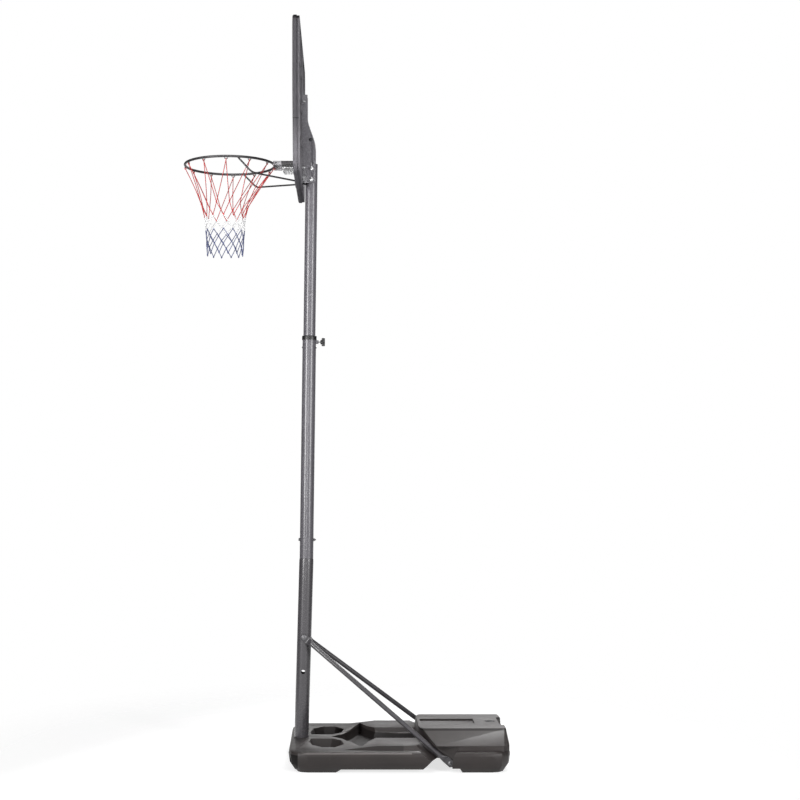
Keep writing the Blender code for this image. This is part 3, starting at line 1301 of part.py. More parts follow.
def rim(frame):
    origin = frame.location
    ring = ring_torus('rim_ring', RING_ROD / 2)
    rod_bottom = ring_height - RING_ROD / 2
    hook_radius = ring_radius
    for index in range(HOOK_COUNT):
        angle = math.tau * index / HOOK_COUNT
        spoke = Vector((math.cos(angle), math.sin(angle), 0))
        tangent = Vector((-math.sin(angle), math.cos(angle), 0))
        centre = Vector((ring_x, 0, 0)) + spoke * hook_radius
        low = rod_bottom - HOOK_DROP + HOOK_WIRE
        corners = [
            centre - tangent * HOOK_HALF + Vector((0, 0, ring_height)),
            centre - tangent * HOOK_HALF + Vector((0, 0, low)),
            centre + tangent * HOOK_HALF + Vector((0, 0, low)),
            centre + tangent * HOOK_HALF + Vector((0, 0, ring_height)),
        ]
        hook = wire('hook', rounded_path(corners, 0.004, 1), HOOK_WIRE, 4)
        combine(ring, hook, 'UNION')
    node(ring, 'rim_ring', 'rim_paint', sharp=60)

    top = RIM_HEIGHT + GAP + ARM_SHEET
    plate = prism('rim_bracket', [
        (-RIM_FOOT_HALF, RIM_PLATE_BOTTOM), (RIM_FOOT_HALF, RIM_PLATE_BOTTOM),
        (RIM_FOOT_HALF, RIM_FOOT_TOP), (RIM_NECK_HALF, RIM_FOOT_TOP), (RIM_NECK_HALF, RIM_PLATE_STEP),
        (arm_half, RIM_PLATE_STEP + 0.006), (arm_half, top), (-arm_half, top),
        (-arm_half, RIM_PLATE_STEP + 0.006), (-RIM_NECK_HALF, RIM_PLATE_STEP),
        (-RIM_NECK_HALF, RIM_FOOT_TOP), (-RIM_FOOT_HALF, RIM_FOOT_TOP),
    ], rim_plate_front, rim_plate_front + RIM_PLATE, 'X')
    sheet = box('sheet', (arm_front, -arm_half, RIM_HEIGHT + GAP), (rim_plate_front + 0.001, arm_half, top))
    combine(plate, sheet, 'UNION')
    block_end = ring_x + ring_radius + RING_ROD / 2 + ARM_FRONT_BLOCK
    for side in (-1, 1):
        ends = sorted((side * (arm_half - ARM_SHEET), side * arm_half))
        outline = [
            (arm_front, top - ARM_FLANGE_FRONT), (block_end - 0.008, top - ARM_FLANGE_FRONT),
            (block_end, top - ARM_FLANGE), (rim_plate_front + 0.001, top - ARM_FLANGE),
            (rim_plate_front + 0.001, top), (arm_front, top),
        ]
        combine(plate, prism('side', outline, ends[0], ends[1], 'Y'), 'UNION')
        y = side * BOARD_BOLT_Y
        combine(plate, rod('spring_hole', SPRING_HOLE, (rim_plate_front - 0.01, y, SPRING_HEIGHT),
                           (board_face + 0.01, y, SPRING_HEIGHT), 20))
    combine(plate, ring_torus('saddle', RING_ROD / 2 + GAP, 96, 16))
    node(plate, 'rim_bracket', 'rim_paint', sharp=40)

    for side, name in ((-1, 'left'), (1, 'right')):
        leave = math.acos(BRACE_START_BACK / ring_radius)
        start = Vector((ring_x + BRACE_START_BACK, side * ring_radius * math.sin(leave), ring_height))
        down = Vector((start.x + BRACE_DROP_RUN, side * BRACE_DROP_HALF, BRACE_LEVEL))
        level = Vector((down.x + BRACE_LEVEL_RUN, side * BRACE_LEVEL_HALF, BRACE_LEVEL - BRACE_LEVEL_FALL))
        end = Vector((rim_plate_front + 0.01, side * BRACE_PLATE_HALF, BRACE_PLATE_HEIGHT))
        brace = wire('brace', rounded_path([start, down, level, end], 0.016), BRACE_RADIUS, 10)
        combine(brace, ring_torus('saddle', RING_ROD / 2 + GAP))
        drop_above(brace, ring_height)
        combine(brace, box('wall', (rim_plate_front - GAP, -arm_half, BRACE_PLATE_HEIGHT - OVERCUT),
                           (rim_plate_front + OVERCUT, arm_half, BRACE_PLATE_HEIGHT + OVERCUT)))
        node(brace, 'rim_brace_' + name, 'rim_paint')
    for name in ('rim_ring', 'rim_bracket', 'rim_brace_left', 'rim_brace_right'):
        attach(name, frame, origin)


def drop_above(item, height):
    """Remove what a saddle cut leaves above the ring's centre plane."""
    combine(item, box('above', (-2, -2, height), (2, 2, height + 1)))


def attach(name, frame, origin):
    """Parent a world-placed piece to a frame, its mesh kept where it is."""
    item = bpy.data.objects[name]
    item.data.transform(Matrix.Translation(-origin))
    item.parent = frame


# Net

def net_point(row, index):
    """Knot of a row; row 0 is at the hooks. Odd rows lie half a step round."""
    if row == 0:
        height, radius = ring_height - RING_ROD / 2 - HOOK_DROP - GAP - NET_CORD / 2, NET_TOP_RADIUS
    else:
        height, radius = NET_ROWS[row - 1]
    top = NET_ROWS[0][0]
    share = max(0.0, min(1.0, (ring_height - height) / (ring_height - top))) ** 1.5
    angle = math.tau * (index + (row % 2) / 2) / HOOK_COUNT
    x = ring_x - NET_SWAY * share + radius * math.cos(angle)
    return Vector((x, radius * math.sin(angle), height))


def net_band(first, last, drop):
    """Meshes between two rows of knots, as one lattice; a knot inside it is a short upright cord."""
    vertices, faces, known = [], [], {}

    def knot(row, index, end):
        inside = first < row < last
        key = (row, index % HOOK_COUNT, end if inside else 0)
        if key not in known:
            known[key] = len(vertices)
            point = net_point(row, index % HOOK_COUNT)
            if inside:
                point.z += end * NET_KNOT / 2
            elif row == first:
                point.z -= drop
            vertices.append(point)
        return known[key]

    for row in range(first, last - 1):
        for index in range(HOOK_COUNT):
            shift = row % 2
            left, right = index + shift - 1, index + shift
            faces.append((
                knot(row, index, -1), knot(row + 1, left, 1), knot(row + 1, left, -1),
                knot(row + 2, index, 1), knot(row + 1, right, -1), knot(row + 1, right, 1),
            ))
    item = outward(mesh_object('net', vertices, faces))
    frame = item.modifiers.new('cord', 'WIREFRAME')
    frame.thickness = NET_CORD
    frame.use_even_offset = False
    frame.use_boundary = True
    return item


def net(frame):
    origin = frame.location
    ends = (0, RED_ROW_COUNT, RED_ROW_COUNT + WHITE_ROW_COUNT, len(NET_ROWS))
    names = ('net_red', 'net_white', 'net_blue')
    looks = ('cord_red', 'cord_white', 'cord_blue')
    for index, (name, look) in enumerate(zip(names, looks)):
        drop = 0.0 if index == 0 else NET_CORD + GAP
        band = net_band(ends[index], ends[index + 1], drop)
        node(band, name, look)
        attach(name, frame, origin)


def build():
    for item in list(bpy.data.objects):
        bpy.data.objects.remove(item)
    for name, values in FINISHES.items():
        finishes[name] = finish(name, *values)
    base()
    filler_cap()
    wheels()
    lower_pole()
    mast = empty('mast_axis', (joint_x, 0, JOINT_HEIGHT), MAST_LEAN)
    middle_pole(mast)
    collar(mast)
    clamp(mast)
    upper_pole(mast)
    struts()
    head = empty('head_frame', (0, 0, 0))
    board(head)
    bracket(head)
    board_bolts(head)
    springs(head)
    hinge = empty('rim_hinge', (board_face - GAP, 0, RIM_PLATE_BOTTOM))
    rim(hinge)
    net(hinge)


build()
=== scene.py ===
import json
import math

import bmesh
import bpy
from mathutils import Matrix, Vector

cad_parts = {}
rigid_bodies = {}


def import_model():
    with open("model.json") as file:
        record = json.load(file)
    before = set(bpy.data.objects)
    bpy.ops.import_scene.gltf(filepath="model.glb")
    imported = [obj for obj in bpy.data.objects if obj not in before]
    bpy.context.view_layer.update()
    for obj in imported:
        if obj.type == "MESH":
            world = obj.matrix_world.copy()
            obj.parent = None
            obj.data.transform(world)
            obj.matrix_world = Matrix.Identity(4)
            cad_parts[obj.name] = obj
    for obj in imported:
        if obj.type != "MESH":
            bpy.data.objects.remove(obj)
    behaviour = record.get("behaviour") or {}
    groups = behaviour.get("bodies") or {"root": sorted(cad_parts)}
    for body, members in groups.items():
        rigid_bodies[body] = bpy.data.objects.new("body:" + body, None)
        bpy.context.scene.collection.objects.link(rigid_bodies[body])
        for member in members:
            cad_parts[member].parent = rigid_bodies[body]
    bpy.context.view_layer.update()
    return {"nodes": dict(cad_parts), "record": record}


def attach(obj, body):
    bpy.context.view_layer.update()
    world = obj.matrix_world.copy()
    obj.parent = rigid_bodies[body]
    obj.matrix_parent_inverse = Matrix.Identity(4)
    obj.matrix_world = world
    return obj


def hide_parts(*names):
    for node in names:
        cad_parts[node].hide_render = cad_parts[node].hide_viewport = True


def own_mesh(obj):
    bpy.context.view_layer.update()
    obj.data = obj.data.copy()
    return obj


for leftover in list(bpy.data.objects):
    bpy.data.objects.remove(leftover)
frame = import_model()
nodes = frame["nodes"]
print('hoop frame loaded:', len(nodes), 'nodes')

# metres, the court is towards -X, the near side of the photograph is -Y
photoLens = {'lens': 61.82, 'sensor_width': 36.0, 'shift_x': 0.07375, 'shift_y': 0.0654}
photoPlace = (-0.0142, -7.07, 1.568)
cameraData = bpy.data.cameras.new('photoCamera')
for name, value in photoLens.items():
    setattr(cameraData, name, value)
photoCamera = bpy.data.objects.new('photoCamera', cameraData)
photoCamera.location = photoPlace
photoCamera.rotation_euler = (math.radians(90), 0, 0)
bpy.context.collection.objects.link(photoCamera)
bpy.context.scene.camera = photoCamera
bpy.context.scene.view_settings.view_transform = 'Standard'

mast = {
    'footX': -0.22057,
    'lowerLean': math.radians(1.60),
    'lean': math.radians(0.76),
    'jointX': -0.19196,
    'jointHeight': 1.024,
    'lowerRadius': 0.0365,
    'middleRadius': 0.0350,
    'upperRadius': 0.0310,
    'wall': 0.0015,
    'jointBoltUp': 0.095,      # above the joint, along the mast
    'collarScrewDown': 0.050,  # below the middle tube's end
    'boltHeights': (3.022, 2.966),
}
holes = {'bolt': 0.0043, 'axle': 0.0053, 'screw': 0.0028}
gap = 0.0003
leftRight = ((-1, 'left'), (1, 'right'))   # as signs of Y
seat = mast['middleRadius'] + gap          # where the boss, bolt heads and screws sit on the middle tube


def lowerX(height):
    return mast['footX'] + math.tan(mast['lowerLean']) * height


def mastX(height):
    return mast['jointX'] + math.tan(mast['lean']) * (height - mast['jointHeight'])


def alongMast(height):
    return (height - mast['jointHeight']) / math.cos(mast['lean'])


jointSpot = Vector((mast['jointX'], 0, mast['jointHeight']))
mastFrame = Matrix.Translation(jointSpot) @ Matrix.Rotation(mast['lean'], 4, 'Y')
lowerFrame = Matrix.Translation((mast['footX'], 0, 0)) @ Matrix.Rotation(mast['lowerLean'], 4, 'Y')


def tone(red, green, blue):
    levels = [v / 255 for v in (red, green, blue)]
    return tuple(v / 12.92 if v <= 0.04045 else ((v + 0.055) / 1.055) ** 2.4 for v in levels) + (1.0,)


# surfaces: tones as seen; patch: noise scale per metre; grain: scale, depth, force; scuff: share, tone, scale
surfaces = {
    'mastEnamel': {
        'dark': (92, 90, 95), 'light': (104, 102, 107), 'patch': 5.0, 'stretch': (1, 1, 0.35),
        'rough': (0.25, 0.29), 'grain': (900.0, 0.00002, 0.03),
        'specular': 0.54, 'scuff': (0.015, (120, 119, 122), 60.0),
    },
    # a darker copy of the mast enamel for the lower tube: painted shade, as the low mast is lit less
    'lowerEnamel': {
        'dark': (70, 68, 71), 'light': (82, 80, 83), 'patch': 5.0, 'stretch': (1, 1, 0.35),
        'rough': (0.25, 0.29), 'grain': (900.0, 0.00002, 0.03),
        'specular': 0.56, 'scuff': (0.015, (98, 96, 99), 60.0),
    },
    'strutEnamel': {
        'dark': (62, 60, 63), 'light': (74, 72, 75), 'patch': 7.0, 'stretch': (1, 1, 0.6),
        'rough': (0.25, 0.33), 'grain': (420.0, 0.00015, 0.25),
        'scuff': (0.06, (112, 110, 113), 60.0),
    },
    'boardPlastic': {
        'dark': (92, 90, 94), 'light': (106, 104, 108), 'patch': 7.0,
        'rough': (0.60, 0.72), 'grain': (1900.0, 0.00010, 0.3),
        'specular': 0.0, 'scuff': (0.04, (132, 131, 135), 45.0),
    },
    'basePlastic': {
        'dark': (40, 36, 35), 'light': (50, 45, 44), 'patch': 4.0,
        'rough': (0.43, 0.51), 'grain': (1300.0, 0.00012, 0.30),
        'specular': 0.34, 'scuff': (0.05, (90, 85, 84), 38.0),
    },
    'blackPlastic': {
        'dark': (20, 20, 21), 'light': (31, 31, 32), 'patch': 40.0,
        'rough': (0.34, 0.48), 'grain': (2600.0, 0.00012, 0.4),
        'scuff': (0.06, (70, 70, 71), 160.0),
    },
    'wheelPlastic': {
        'dark': (14, 14, 14), 'light': (24, 23, 23), 'patch': 35.0,
        'rough': (0.55, 0.72), 'grain': (1800.0, 0.00020, 0.5),
        'specular': 0.35, 'scuff': (0.10, (62, 58, 55), 90.0),
    },
    'rimCoat': {
        'dark': (44, 42, 44), 'light': (58, 56, 58), 'patch': 22.0,
        'rough': (0.34, 0.48), 'grain': (1100.0, 0.00018, 0.5),
        'scuff': (0.07, (92, 90, 92), 120.0),
    },
    'zincPlate': {
        'dark': (168, 170, 176), 'light': (214, 213, 210), 'patch': 240.0,
        'rough': (0.24, 0.40), 'grain': (3200.0, 0.00005, 0.4),
        'metallic': 1.0, 'scuff': (0.10, (150, 146, 128), 420.0),
    },
    'blackSteel': {
        'dark': (40, 40, 42), 'light': (60, 60, 63), 'patch': 260.0,
        'rough': (0.34, 0.50), 'grain': (3000.0, 0.00005, 0.4),
        'metallic': 0.8, 'scuff': (0.08, (96, 92, 88), 420.0),
    },
    'dullZinc': {
        'dark': (92, 92, 96), 'light': (128, 127, 128), 'patch': 240.0,
        'rough': (0.38, 0.52), 'grain': (3200.0, 0.00005, 0.4),
        'metallic': 0.9, 'scuff': (0.10, (84, 80, 70), 420.0),
    },
    'waterFill': {
        'dark': (128, 142, 150), 'light': (150, 164, 170), 'patch': 3.0,
        'rough': (0.08, 0.14), 'grain': (30.0, 0.0004, 0.3),
        'scuff': (0.05, (170, 180, 184), 9.0),
    },
}
plainLook = {
    'stretch': (1, 1, 1), 'metallic': 0.0, 'specular': 0.5,
    'patchRange': (0.32, 0.68), 'scuffRange': (0.60, 0.78), 'roughRange': (0.3, 0.7),      # of the noise
}
finishes = {}
nodeStep = 200                             # nodes stand in a row, in the order they are made


def addNode(tree, kind, **values):
    made = tree.nodes.new(kind)
    made.location.x = nodeStep * len(tree.nodes)
    for name, value in values.items():
        setattr(made, name, value)
    return made


def feed(tree, value, socket):
    if isinstance(value, bpy.types.NodeSocket):
        tree.links.new(value, socket)
    else:
        socket.default_value = value


def mathNode(tree, operation, *values, clamp=False):
    made = addNode(tree, 'ShaderNodeMath', operation=operation, use_clamp=clamp)
    for value, socket in zip(values, made.inputs):
        feed(tree, value, socket)
    return made.outputs[0]


def remap(tree, value, fromRange, toRange=(0.0, 1.0), smooth=False):
    made = addNode(tree, 'ShaderNodeMapRange', interpolation_type='SMOOTHSTEP' if smooth else 'LINEAR')
    for name, number in zip(('From Min', 'From Max', 'To Min', 'To Max'), (*fromRange, *toRange)):
        made.inputs[name].default_value = number
    feed(tree, value, made.inputs['Value'])
    return made.outputs['Result']


def noise(tree, vector, scale, detail, roughness=0.5):
    made = addNode(tree, 'ShaderNodeTexNoise')
    for name, value in (('Vector', vector), ('Scale', scale), ('Detail', detail), ('Roughness', roughness)):
        feed(tree, value, made.inputs[name])
    return made.outputs['Fac']


def bumped(tree, height, strength, distance):
    made = addNode(tree, 'ShaderNodeBump')
    for name, value in (('Height', height), ('Strength', strength), ('Distance', distance)):
        feed(tree, value, made.inputs[name])
    feed(tree, made.outputs['Normal'], tree.nodes['Principled BSDF'].inputs['Normal'])


def ramped(tree, factor, *stops):
    made = addNode(tree, 'ShaderNodeValToRGB')
    for element, (position, colour) in zip(made.color_ramp.elements, stops):
        element.position = position
        element.color = tone(*colour)
    feed(tree, factor, made.inputs['Fac'])
    return made.outputs['Color']


def blended(tree, factor, first, second):
    made = addNode(tree, 'ShaderNodeMix', data_type='RGBA')
    for name, value in (('Factor', factor), ('A', first), ('B', second)):
        feed(tree, value, made.inputs[name])
    return made.outputs['Result']


def newMaterial(name):
    material = bpy.data.materials.new(name)
    material.use_nodes = True
    return material, material.node_tree


def paintSurface(name, look):
    look = {**plainLook, **look}
    material, tree = newMaterial(name)
    shader = tree.nodes['Principled BSDF'].inputs
    shader['Metallic'].default_value = look['metallic']
    shader['Specular IOR Level'].default_value = look['specular']
    spots = addNode(tree, 'ShaderNodeTexCoord').outputs['Object']
    stretch = addNode(tree, 'ShaderNodeMapping')
    stretch.inputs['Scale'].default_value = look['stretch']
    feed(tree, spots, stretch.inputs['Vector'])
    patch = noise(tree, stretch.outputs['Vector'], look['patch'], 5.0, 0.6)
    darkEnd, lightEnd = look['patchRange']
    colour = ramped(tree, patch, (darkEnd, look['dark']), (lightEnd, look['light']))
    share, scuffColour, scale = look['scuff']
    scuff = noise(tree, spots, scale, 8.0, 0.7)      # small marks of handling
    marks = remap(tree, scuff, look['scuffRange'], (0.0, share * 4))
    feed(tree, blended(tree, marks, colour, tone(*scuffColour)), shader['Base Color'])
    feed(tree, remap(tree, scuff, look['roughRange'], look['rough']), shader['Roughness'])
    scale, depth, force = look['grain']
    bumped(tree, noise(tree, spots, scale, 2.0), force, depth)
    finishes[name] = material
    return material


for surfaceName, surfaceLook in surfaces.items():
    paintSurface(surfaceName, surfaceLook)


def bothSides(low, high, soft, share):
    return [(low, high, soft, share), ((low[0], -high[1], low[2]), (high[0], -low[1], high[2]), soft, share)]


# boxes painted in another tone, for painted shade and painted highlights: low corner, high corner, soft edge,
# share of that tone
paintedShadeBoxes = [                              # painted shade in the base's hollows, valley, tank seam and shoulder bands; its front corners painted dark where the wheels show
    ((-0.178, 0.000, 0.040), (0.010, 0.262, 0.101), 0.004, 0.60),
    ((-0.178, -0.262, 0.040), (0.010, 0.000, 0.101), 0.004, 0.22),
    ((0.010, -0.315, 0.040), (0.384, 0.315, 0.101), 0.004, 0.68),
    ((0.375, -0.400, 0.1768), (0.830, 0.400, 0.1842), 0.0008, 0.60),
    *bothSides((-0.290, -0.460, 0.020), (-0.2280, -0.262, 0.084), 0.005, 0.85),
    *bothSides((-0.235, -0.350, 0.1035), (0.290, -0.272, 0.125), 0.006, 0.40),
]
shoulderHighlightBoxes = bothSides((-0.245, -0.460, 0.0960), (0.330, -0.366, 0.1160), 0.004, 0.8)    # painted highlight along the shoulder
armHighlightBoxes = [((-0.370, -0.080, 3.010), (-0.3185, 0.080, 3.0525), 0.0010, 1.0)]      # painted highlight on the rim arm's front
boardPaintedShadeBoxes = [                             # painted shade on the board's top, and a painted shadow line where a groove crosses each side edge
    ((-0.300, -0.700, 3.6380), (0.000, 0.700, 3.7000), 0.0040, 0.75),
    *bothSides((-0.300, -0.700, 3.1622), (0.000, -0.500, 3.1658), 0.0006, 0.75),
]
rearPlasticAndPaintedLightBoxes = [((-0.2142, -0.700, 2.9000), (0.000, 0.700, 3.6380), 0.0006, 1.0)]      # the board's ribbed rear: partly its lighter plastic, partly painted light where it lies in shade
# painted light and shade on the board: lighter at the bottom, darker towards the top, as the light falls
boardPaintedLightByHeight = {'low': 2.99, 'high': 3.22, 'lowGain': 1.30, 'highGain': 0.62}


def placeAxes(tree):
    axes = addNode(tree, 'ShaderNodeSeparateXYZ')
    feed(tree, addNode(tree, 'ShaderNodeTexCoord').outputs['Object'], axes.inputs['Vector'])
    return axes.outputs


def boxTone(material, boxes, colour, specular):
    tree = material.node_tree
    shader = tree.nodes['Principled BSDF'].inputs
    source = shader['Base Color'].links[0].from_socket
    axes = placeAxes(tree)
    total = None
    for lowCorner, highCorner, soft, share in boxes:
        inside = None
        for axis, low, high in zip(axes, lowCorner, highCorner):
            for edgeRange in ((low - soft, low), (high + soft, high)):
                edge = remap(tree, axis, edgeRange, smooth=True)
                inside = edge if inside is None else mathNode(tree, 'MULTIPLY', inside, edge)
        part = mathNode(tree, 'MULTIPLY', inside, share)
        total = part if total is None else mathNode(tree, 'MAXIMUM', total, part)
    feed(tree, blended(tree, total, source, tone(*colour)), shader['Base Color'])
    gloss = shader['Specular IOR Level']
    feed(tree, remap(tree, total, (0.0, 1.0), (gloss.default_value, specular)), gloss)


# scales the colour by a gain that runs with height: painted light and shade
def paintLightByHeight(material, shade):
    tree = material.node_tree
    colour = tree.nodes['Principled BSDF'].inputs['Base Color']
    gain = remap(tree, placeAxes(tree)['Z'], (shade['low'], shade['high']),
                 (shade['lowGain'], shade['highGain']), smooth=True)
    scaled = addNode(tree, 'ShaderNodeVectorMath', operation='SCALE')
    feed(tree, colour.links[0].from_socket, scaled.inputs[0])
    feed(tree, gain, scaled.inputs['Scale'])
    feed(tree, scaled.outputs['Vector'], colour)


boxLook = {                                # colour and specular inside the boxes: painted highlights, painted shade, and the rear's tone, partly painted light
    'shoulder': ((104, 99, 98), surfaces['basePlastic']['specular']),
    'deep': ((15, 14, 14), 0.05),
    'bare': ((158, 157, 160), 0.5),
    'board': ((26, 26, 27), 0.0),
    'rear': ((134, 132, 136), 0.0),
}
# paint the highlights, the shade and the board's light into the surfaces
boxTone(finishes['basePlastic'], shoulderHighlightBoxes, *boxLook['shoulder'])
boxTone(finishes['basePlastic'], paintedShadeBoxes, *boxLook['deep'])
boxTone(paintSurface('armCoat', surfaces['rimCoat']), armHighlightBoxes, *boxLook['bare'])
paintLightByHeight(finishes['boardPlastic'], boardPaintedLightByHeight)
boxTone(finishes['boardPlastic'], boardPaintedShadeBoxes, *boxLook['board'])
boxTone(finishes['boardPlastic'], rearPlasticAndPaintedLightBoxes, *boxLook['rear'])

# twisted polyester cord: tones of its strands, and the painted shade in the valleys between them
cordTwist = {
    'cordRed': ((204, 66, 64), (132, 34, 36)),
    'cordWhite': ((246, 246, 245), (214, 214, 217)),
    'cordBlue': ((94, 103, 144), (54, 60, 92)),
    'plies': 3,
    'pitch': 0.011,        # one turn of a ply
    'depth': 0.0007,
    'rough': 0.82, 'specular': 0.25, 'sheen': 0.25, 'fibre': 2400.0, 'fuzz': 0.25, 'relief': 0.8,
}


def twistCord(name):
    material, tree = newMaterial(name)
    shader = tree.nodes['Principled BSDF'].inputs
    shader['Roughness'].default_value = cordTwist['rough']
    shader['Specular IOR Level'].default_value = cordTwist['specular']
    shader['Sheen Weight'].default_value = cordTwist['sheen']
    place = addNode(tree, 'ShaderNodeUVMap', uv_map='cordLength')
    parts = addNode(tree, 'ShaderNodeSeparateXYZ')
    feed(tree, place.outputs['UV'], parts.inputs['Vector'])
    around = mathNode(tree, 'MULTIPLY', parts.outputs['Y'], cordTwist['plies'] * math.tau)
    along = mathNode(tree, 'MULTIPLY', parts.outputs['X'], math.tau / cordTwist['pitch'])
    wave = mathNode(tree, 'COSINE', mathNode(tree, 'ADD', around, along))
    height = remap(tree, wave, (-1.0, 1.0))
    spots = addNode(tree, 'ShaderNodeTexCoord').outputs['Object']
    fuzz = noise(tree, spots, cordTwist['fibre'], 3.0)
    # strand tone on the ridges, painted shade in the valleys
    bright, deep = cordTwist[name]
    feed(tree, ramped(tree, height, (0.05, deep), (0.60, bright)), shader['Base Color'])
    relief = mathNode(tree, 'MULTIPLY_ADD', fuzz, cordTwist['fuzz'], height)
    bumped(tree, relief, cordTwist['relief'], cordTwist['depth'])
    finishes[name] = material


for cordName in ('cordRed', 'cordWhite', 'cordBlue'):
    twistCord(cordName)
print('finishes made:', len(finishes))

# which finish each record slot wears
slotFinish = {
    'mast_paint': 'mastEnamel', 'board_plastic': 'boardPlastic', 'base_plastic': 'basePlastic',
    'black_plastic': 'blackPlastic', 'wheel_plastic': 'wheelPlastic', 'rim_paint': 'rimCoat',
    'zinc': 'zincPlate', 'black_steel': 'blackSteel', 'cord_red': 'cordRed', 'cord_white': 'cordWhite',
    'cord_blue': 'cordBlue', 'fill_water': 'waterFill',
}
slotOf = {part['node']: part['material_slot'] for part in frame["record"]["subparts"]}
for nodeName, cadNode in nodes.items():
    cadNode.data.materials.clear()
    cadNode.data.materials.append(finishes[slotFinish[slotOf[nodeName]]])


def letGo():
    if bpy.context.mode != 'OBJECT':
        bpy.ops.object.mode_set(mode='OBJECT')
    bpy.ops.object.select_all(action='DESELECT')


def pick(piece):
    letGo()
    piece.select_set(True)
    bpy.context.view_layer.objects.active = piece
    return piece


def newPiece(name, corners, edges, faces):
    mesh = bpy.data.meshes.new(name)
    mesh.from_pydata([tuple(corner) for corner in corners], edges, faces)
    piece = bpy.data.objects.new(name, mesh)
    bpy.context.collection.objects.link(piece)
    return pick(piece)


def mendNormals(piece, reach=1e-6):
    pick(piece)
    bpy.ops.object.mode_set(mode='EDIT')
    bpy.ops.mesh.select_all(action='SELECT')
    bpy.ops.mesh.remove_doubles(threshold=reach)
    bpy.ops.mesh.normals_make_consistent(inside=False)
    bpy.ops.object.mode_set(mode='OBJECT')
    return piece


def spun(name, profile, steps, matrix=Matrix.Identity(4), closed=False):
    edges = [(index, index + 1) for index in range(len(profile) - 1)]
    if closed:
        edges.append((len(profile) - 1, 0))
    piece = newPiece(name, [(radius, 0, height) for radius, height in profile], edges, [])
    bpy.ops.object.mode_set(mode='EDIT')
    bpy.ops.mesh.select_all(action='SELECT')
    bpy.ops.mesh.spin(steps=steps, angle=math.tau, center=(0, 0, 0), axis=(0, 0, 1))
    bpy.ops.object.mode_set(mode='OBJECT')
    mendNormals(piece)
    piece.data.transform(matrix)
    return piece


def skin(name, rings):
    count = len(rings[0])
    corners = [point for ring in rings for point in ring]
    faces = [tuple(range(count)), tuple(range(len(corners) - count, len(corners)))]
    for level in range(len(rings) - 1):
        lowRow, highRow = level * count, (level + 1) * count
        for step in range(count):
            after = (step + 1) % count
            faces.append((lowRow + step, lowRow + after, highRow + after, highRow + step))
    return mendNormals(newPiece(name, corners, [], faces), 1e-7)


def primitive(make, stretch=(1, 1, 1), **values):
    letGo()
    make(**values)
    piece = bpy.context.object
    piece.scale = stretch
    bpy.ops.object.transform_apply(location=True, rotation=True, scale=True)
    return piece


def facing(direction, spot):
    turn = Vector(direction).to_track_quat('Z', 'Y').to_matrix().to_4x4()
    return Matrix.Translation(Vector(spot)) @ turn


def roundEdges(piece, width, segments=2, angle=30):
    change = piece.modifiers.new('edges', 'BEVEL')
    change.width = width
    change.segments = segments
    change.limit_method = 'ANGLE'
    change.angle_limit = math.radians(angle)
    change.use_clamp_overlap = True
    pick(piece)
    bpy.ops.object.modifier_apply(modifier=change.name)
    return piece


def cut(piece, tool, operation='DIFFERENCE'):
    change = piece.modifiers.new('cut', 'BOOLEAN')
    change.object = tool
    change.operation = operation
    pick(piece)
    bpy.ops.object.modifier_apply(modifier=change.name)
    bpy.data.objects.remove(tool)
    return piece


def joined(piece, *others):
    pick(piece)
    for other in others:
        other.select_set(True)
    bpy.ops.object.join()
    return piece


def smoothPath(corners, reach, steps=6):
    corners = [Vector(corner) for corner in corners]
    path = [corners[0]]
    for before, corner, after in zip(corners, corners[1:], corners[2:]):
        start = corner + (before - corner).normalized() * reach
        end = corner + (after - corner).normalized() * reach
        for step in range(steps + 1):
            t = step / steps
            path.append(start.lerp(corner, t).lerp(corner.lerp(end, t), t))
    path.append(corners[-1])
    return path


def bentBar(name, path, radius, roundness=4):
    curve = bpy.data.curves.new(name, 'CURVE')
    curve.dimensions = '3D'
    curve.bevel_depth = radius
    curve.bevel_resolution = roundness
    curve.use_fill_caps = True
    spline = curve.splines.new('POLY')
    spline.points.add(len(path) - 1)
    for point, spot in zip(spline.points, path):
        point.co = (*spot, 1)
    piece = bpy.data.objects.new(name, curve)
    bpy.context.collection.objects.link(piece)
    pick(piece)
    bpy.ops.object.convert(target='MESH')
    return mendNormals(bpy.context.object)


def copyOfNode(nodeName, name):
    mesh = nodes[nodeName].data.copy()
    piece = bpy.data.objects.new(name, mesh)
    bpy.context.collection.objects.link(piece)
    pick(piece)
    if mesh.has_custom_normals:
        bpy.ops.mesh.customdata_custom_splitnormals_clear()
    bpy.ops.object.mode_set(mode='EDIT')
    bpy.ops.mesh.select_all(action='SELECT')
    bpy.ops.mesh.remove_doubles(threshold=0.00002)
    bpy.ops.mesh.dissolve_limited(angle_limit=math.radians(0.6))
    bpy.ops.object.mode_set(mode='OBJECT')
    return piece


def mount(piece, name, body, slotName, *standsFor, angle=35, finish=None):
    piece.name = name
    piece.data.name = name
    piece.data.materials.clear()
    piece.data.materials.append(finishes[finish or slotFinish[slotName]])
    pick(piece)
    bpy.ops.object.shade_smooth_by_angle(angle=math.radians(angle))
    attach(piece, body)
    if standsFor:
        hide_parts(*standsFor)
    return piece


# base
base = {
    'edge': 0.0022,
    'segments': 2,
    'angle': 28,
}
shell = copyOfNode('base_shell', 'base_body')
roundEdges(shell, base['edge'], base['segments'], base['angle'])
mount(shell, 'base_body', 'base', 'base_plastic', 'base_shell', angle=40)

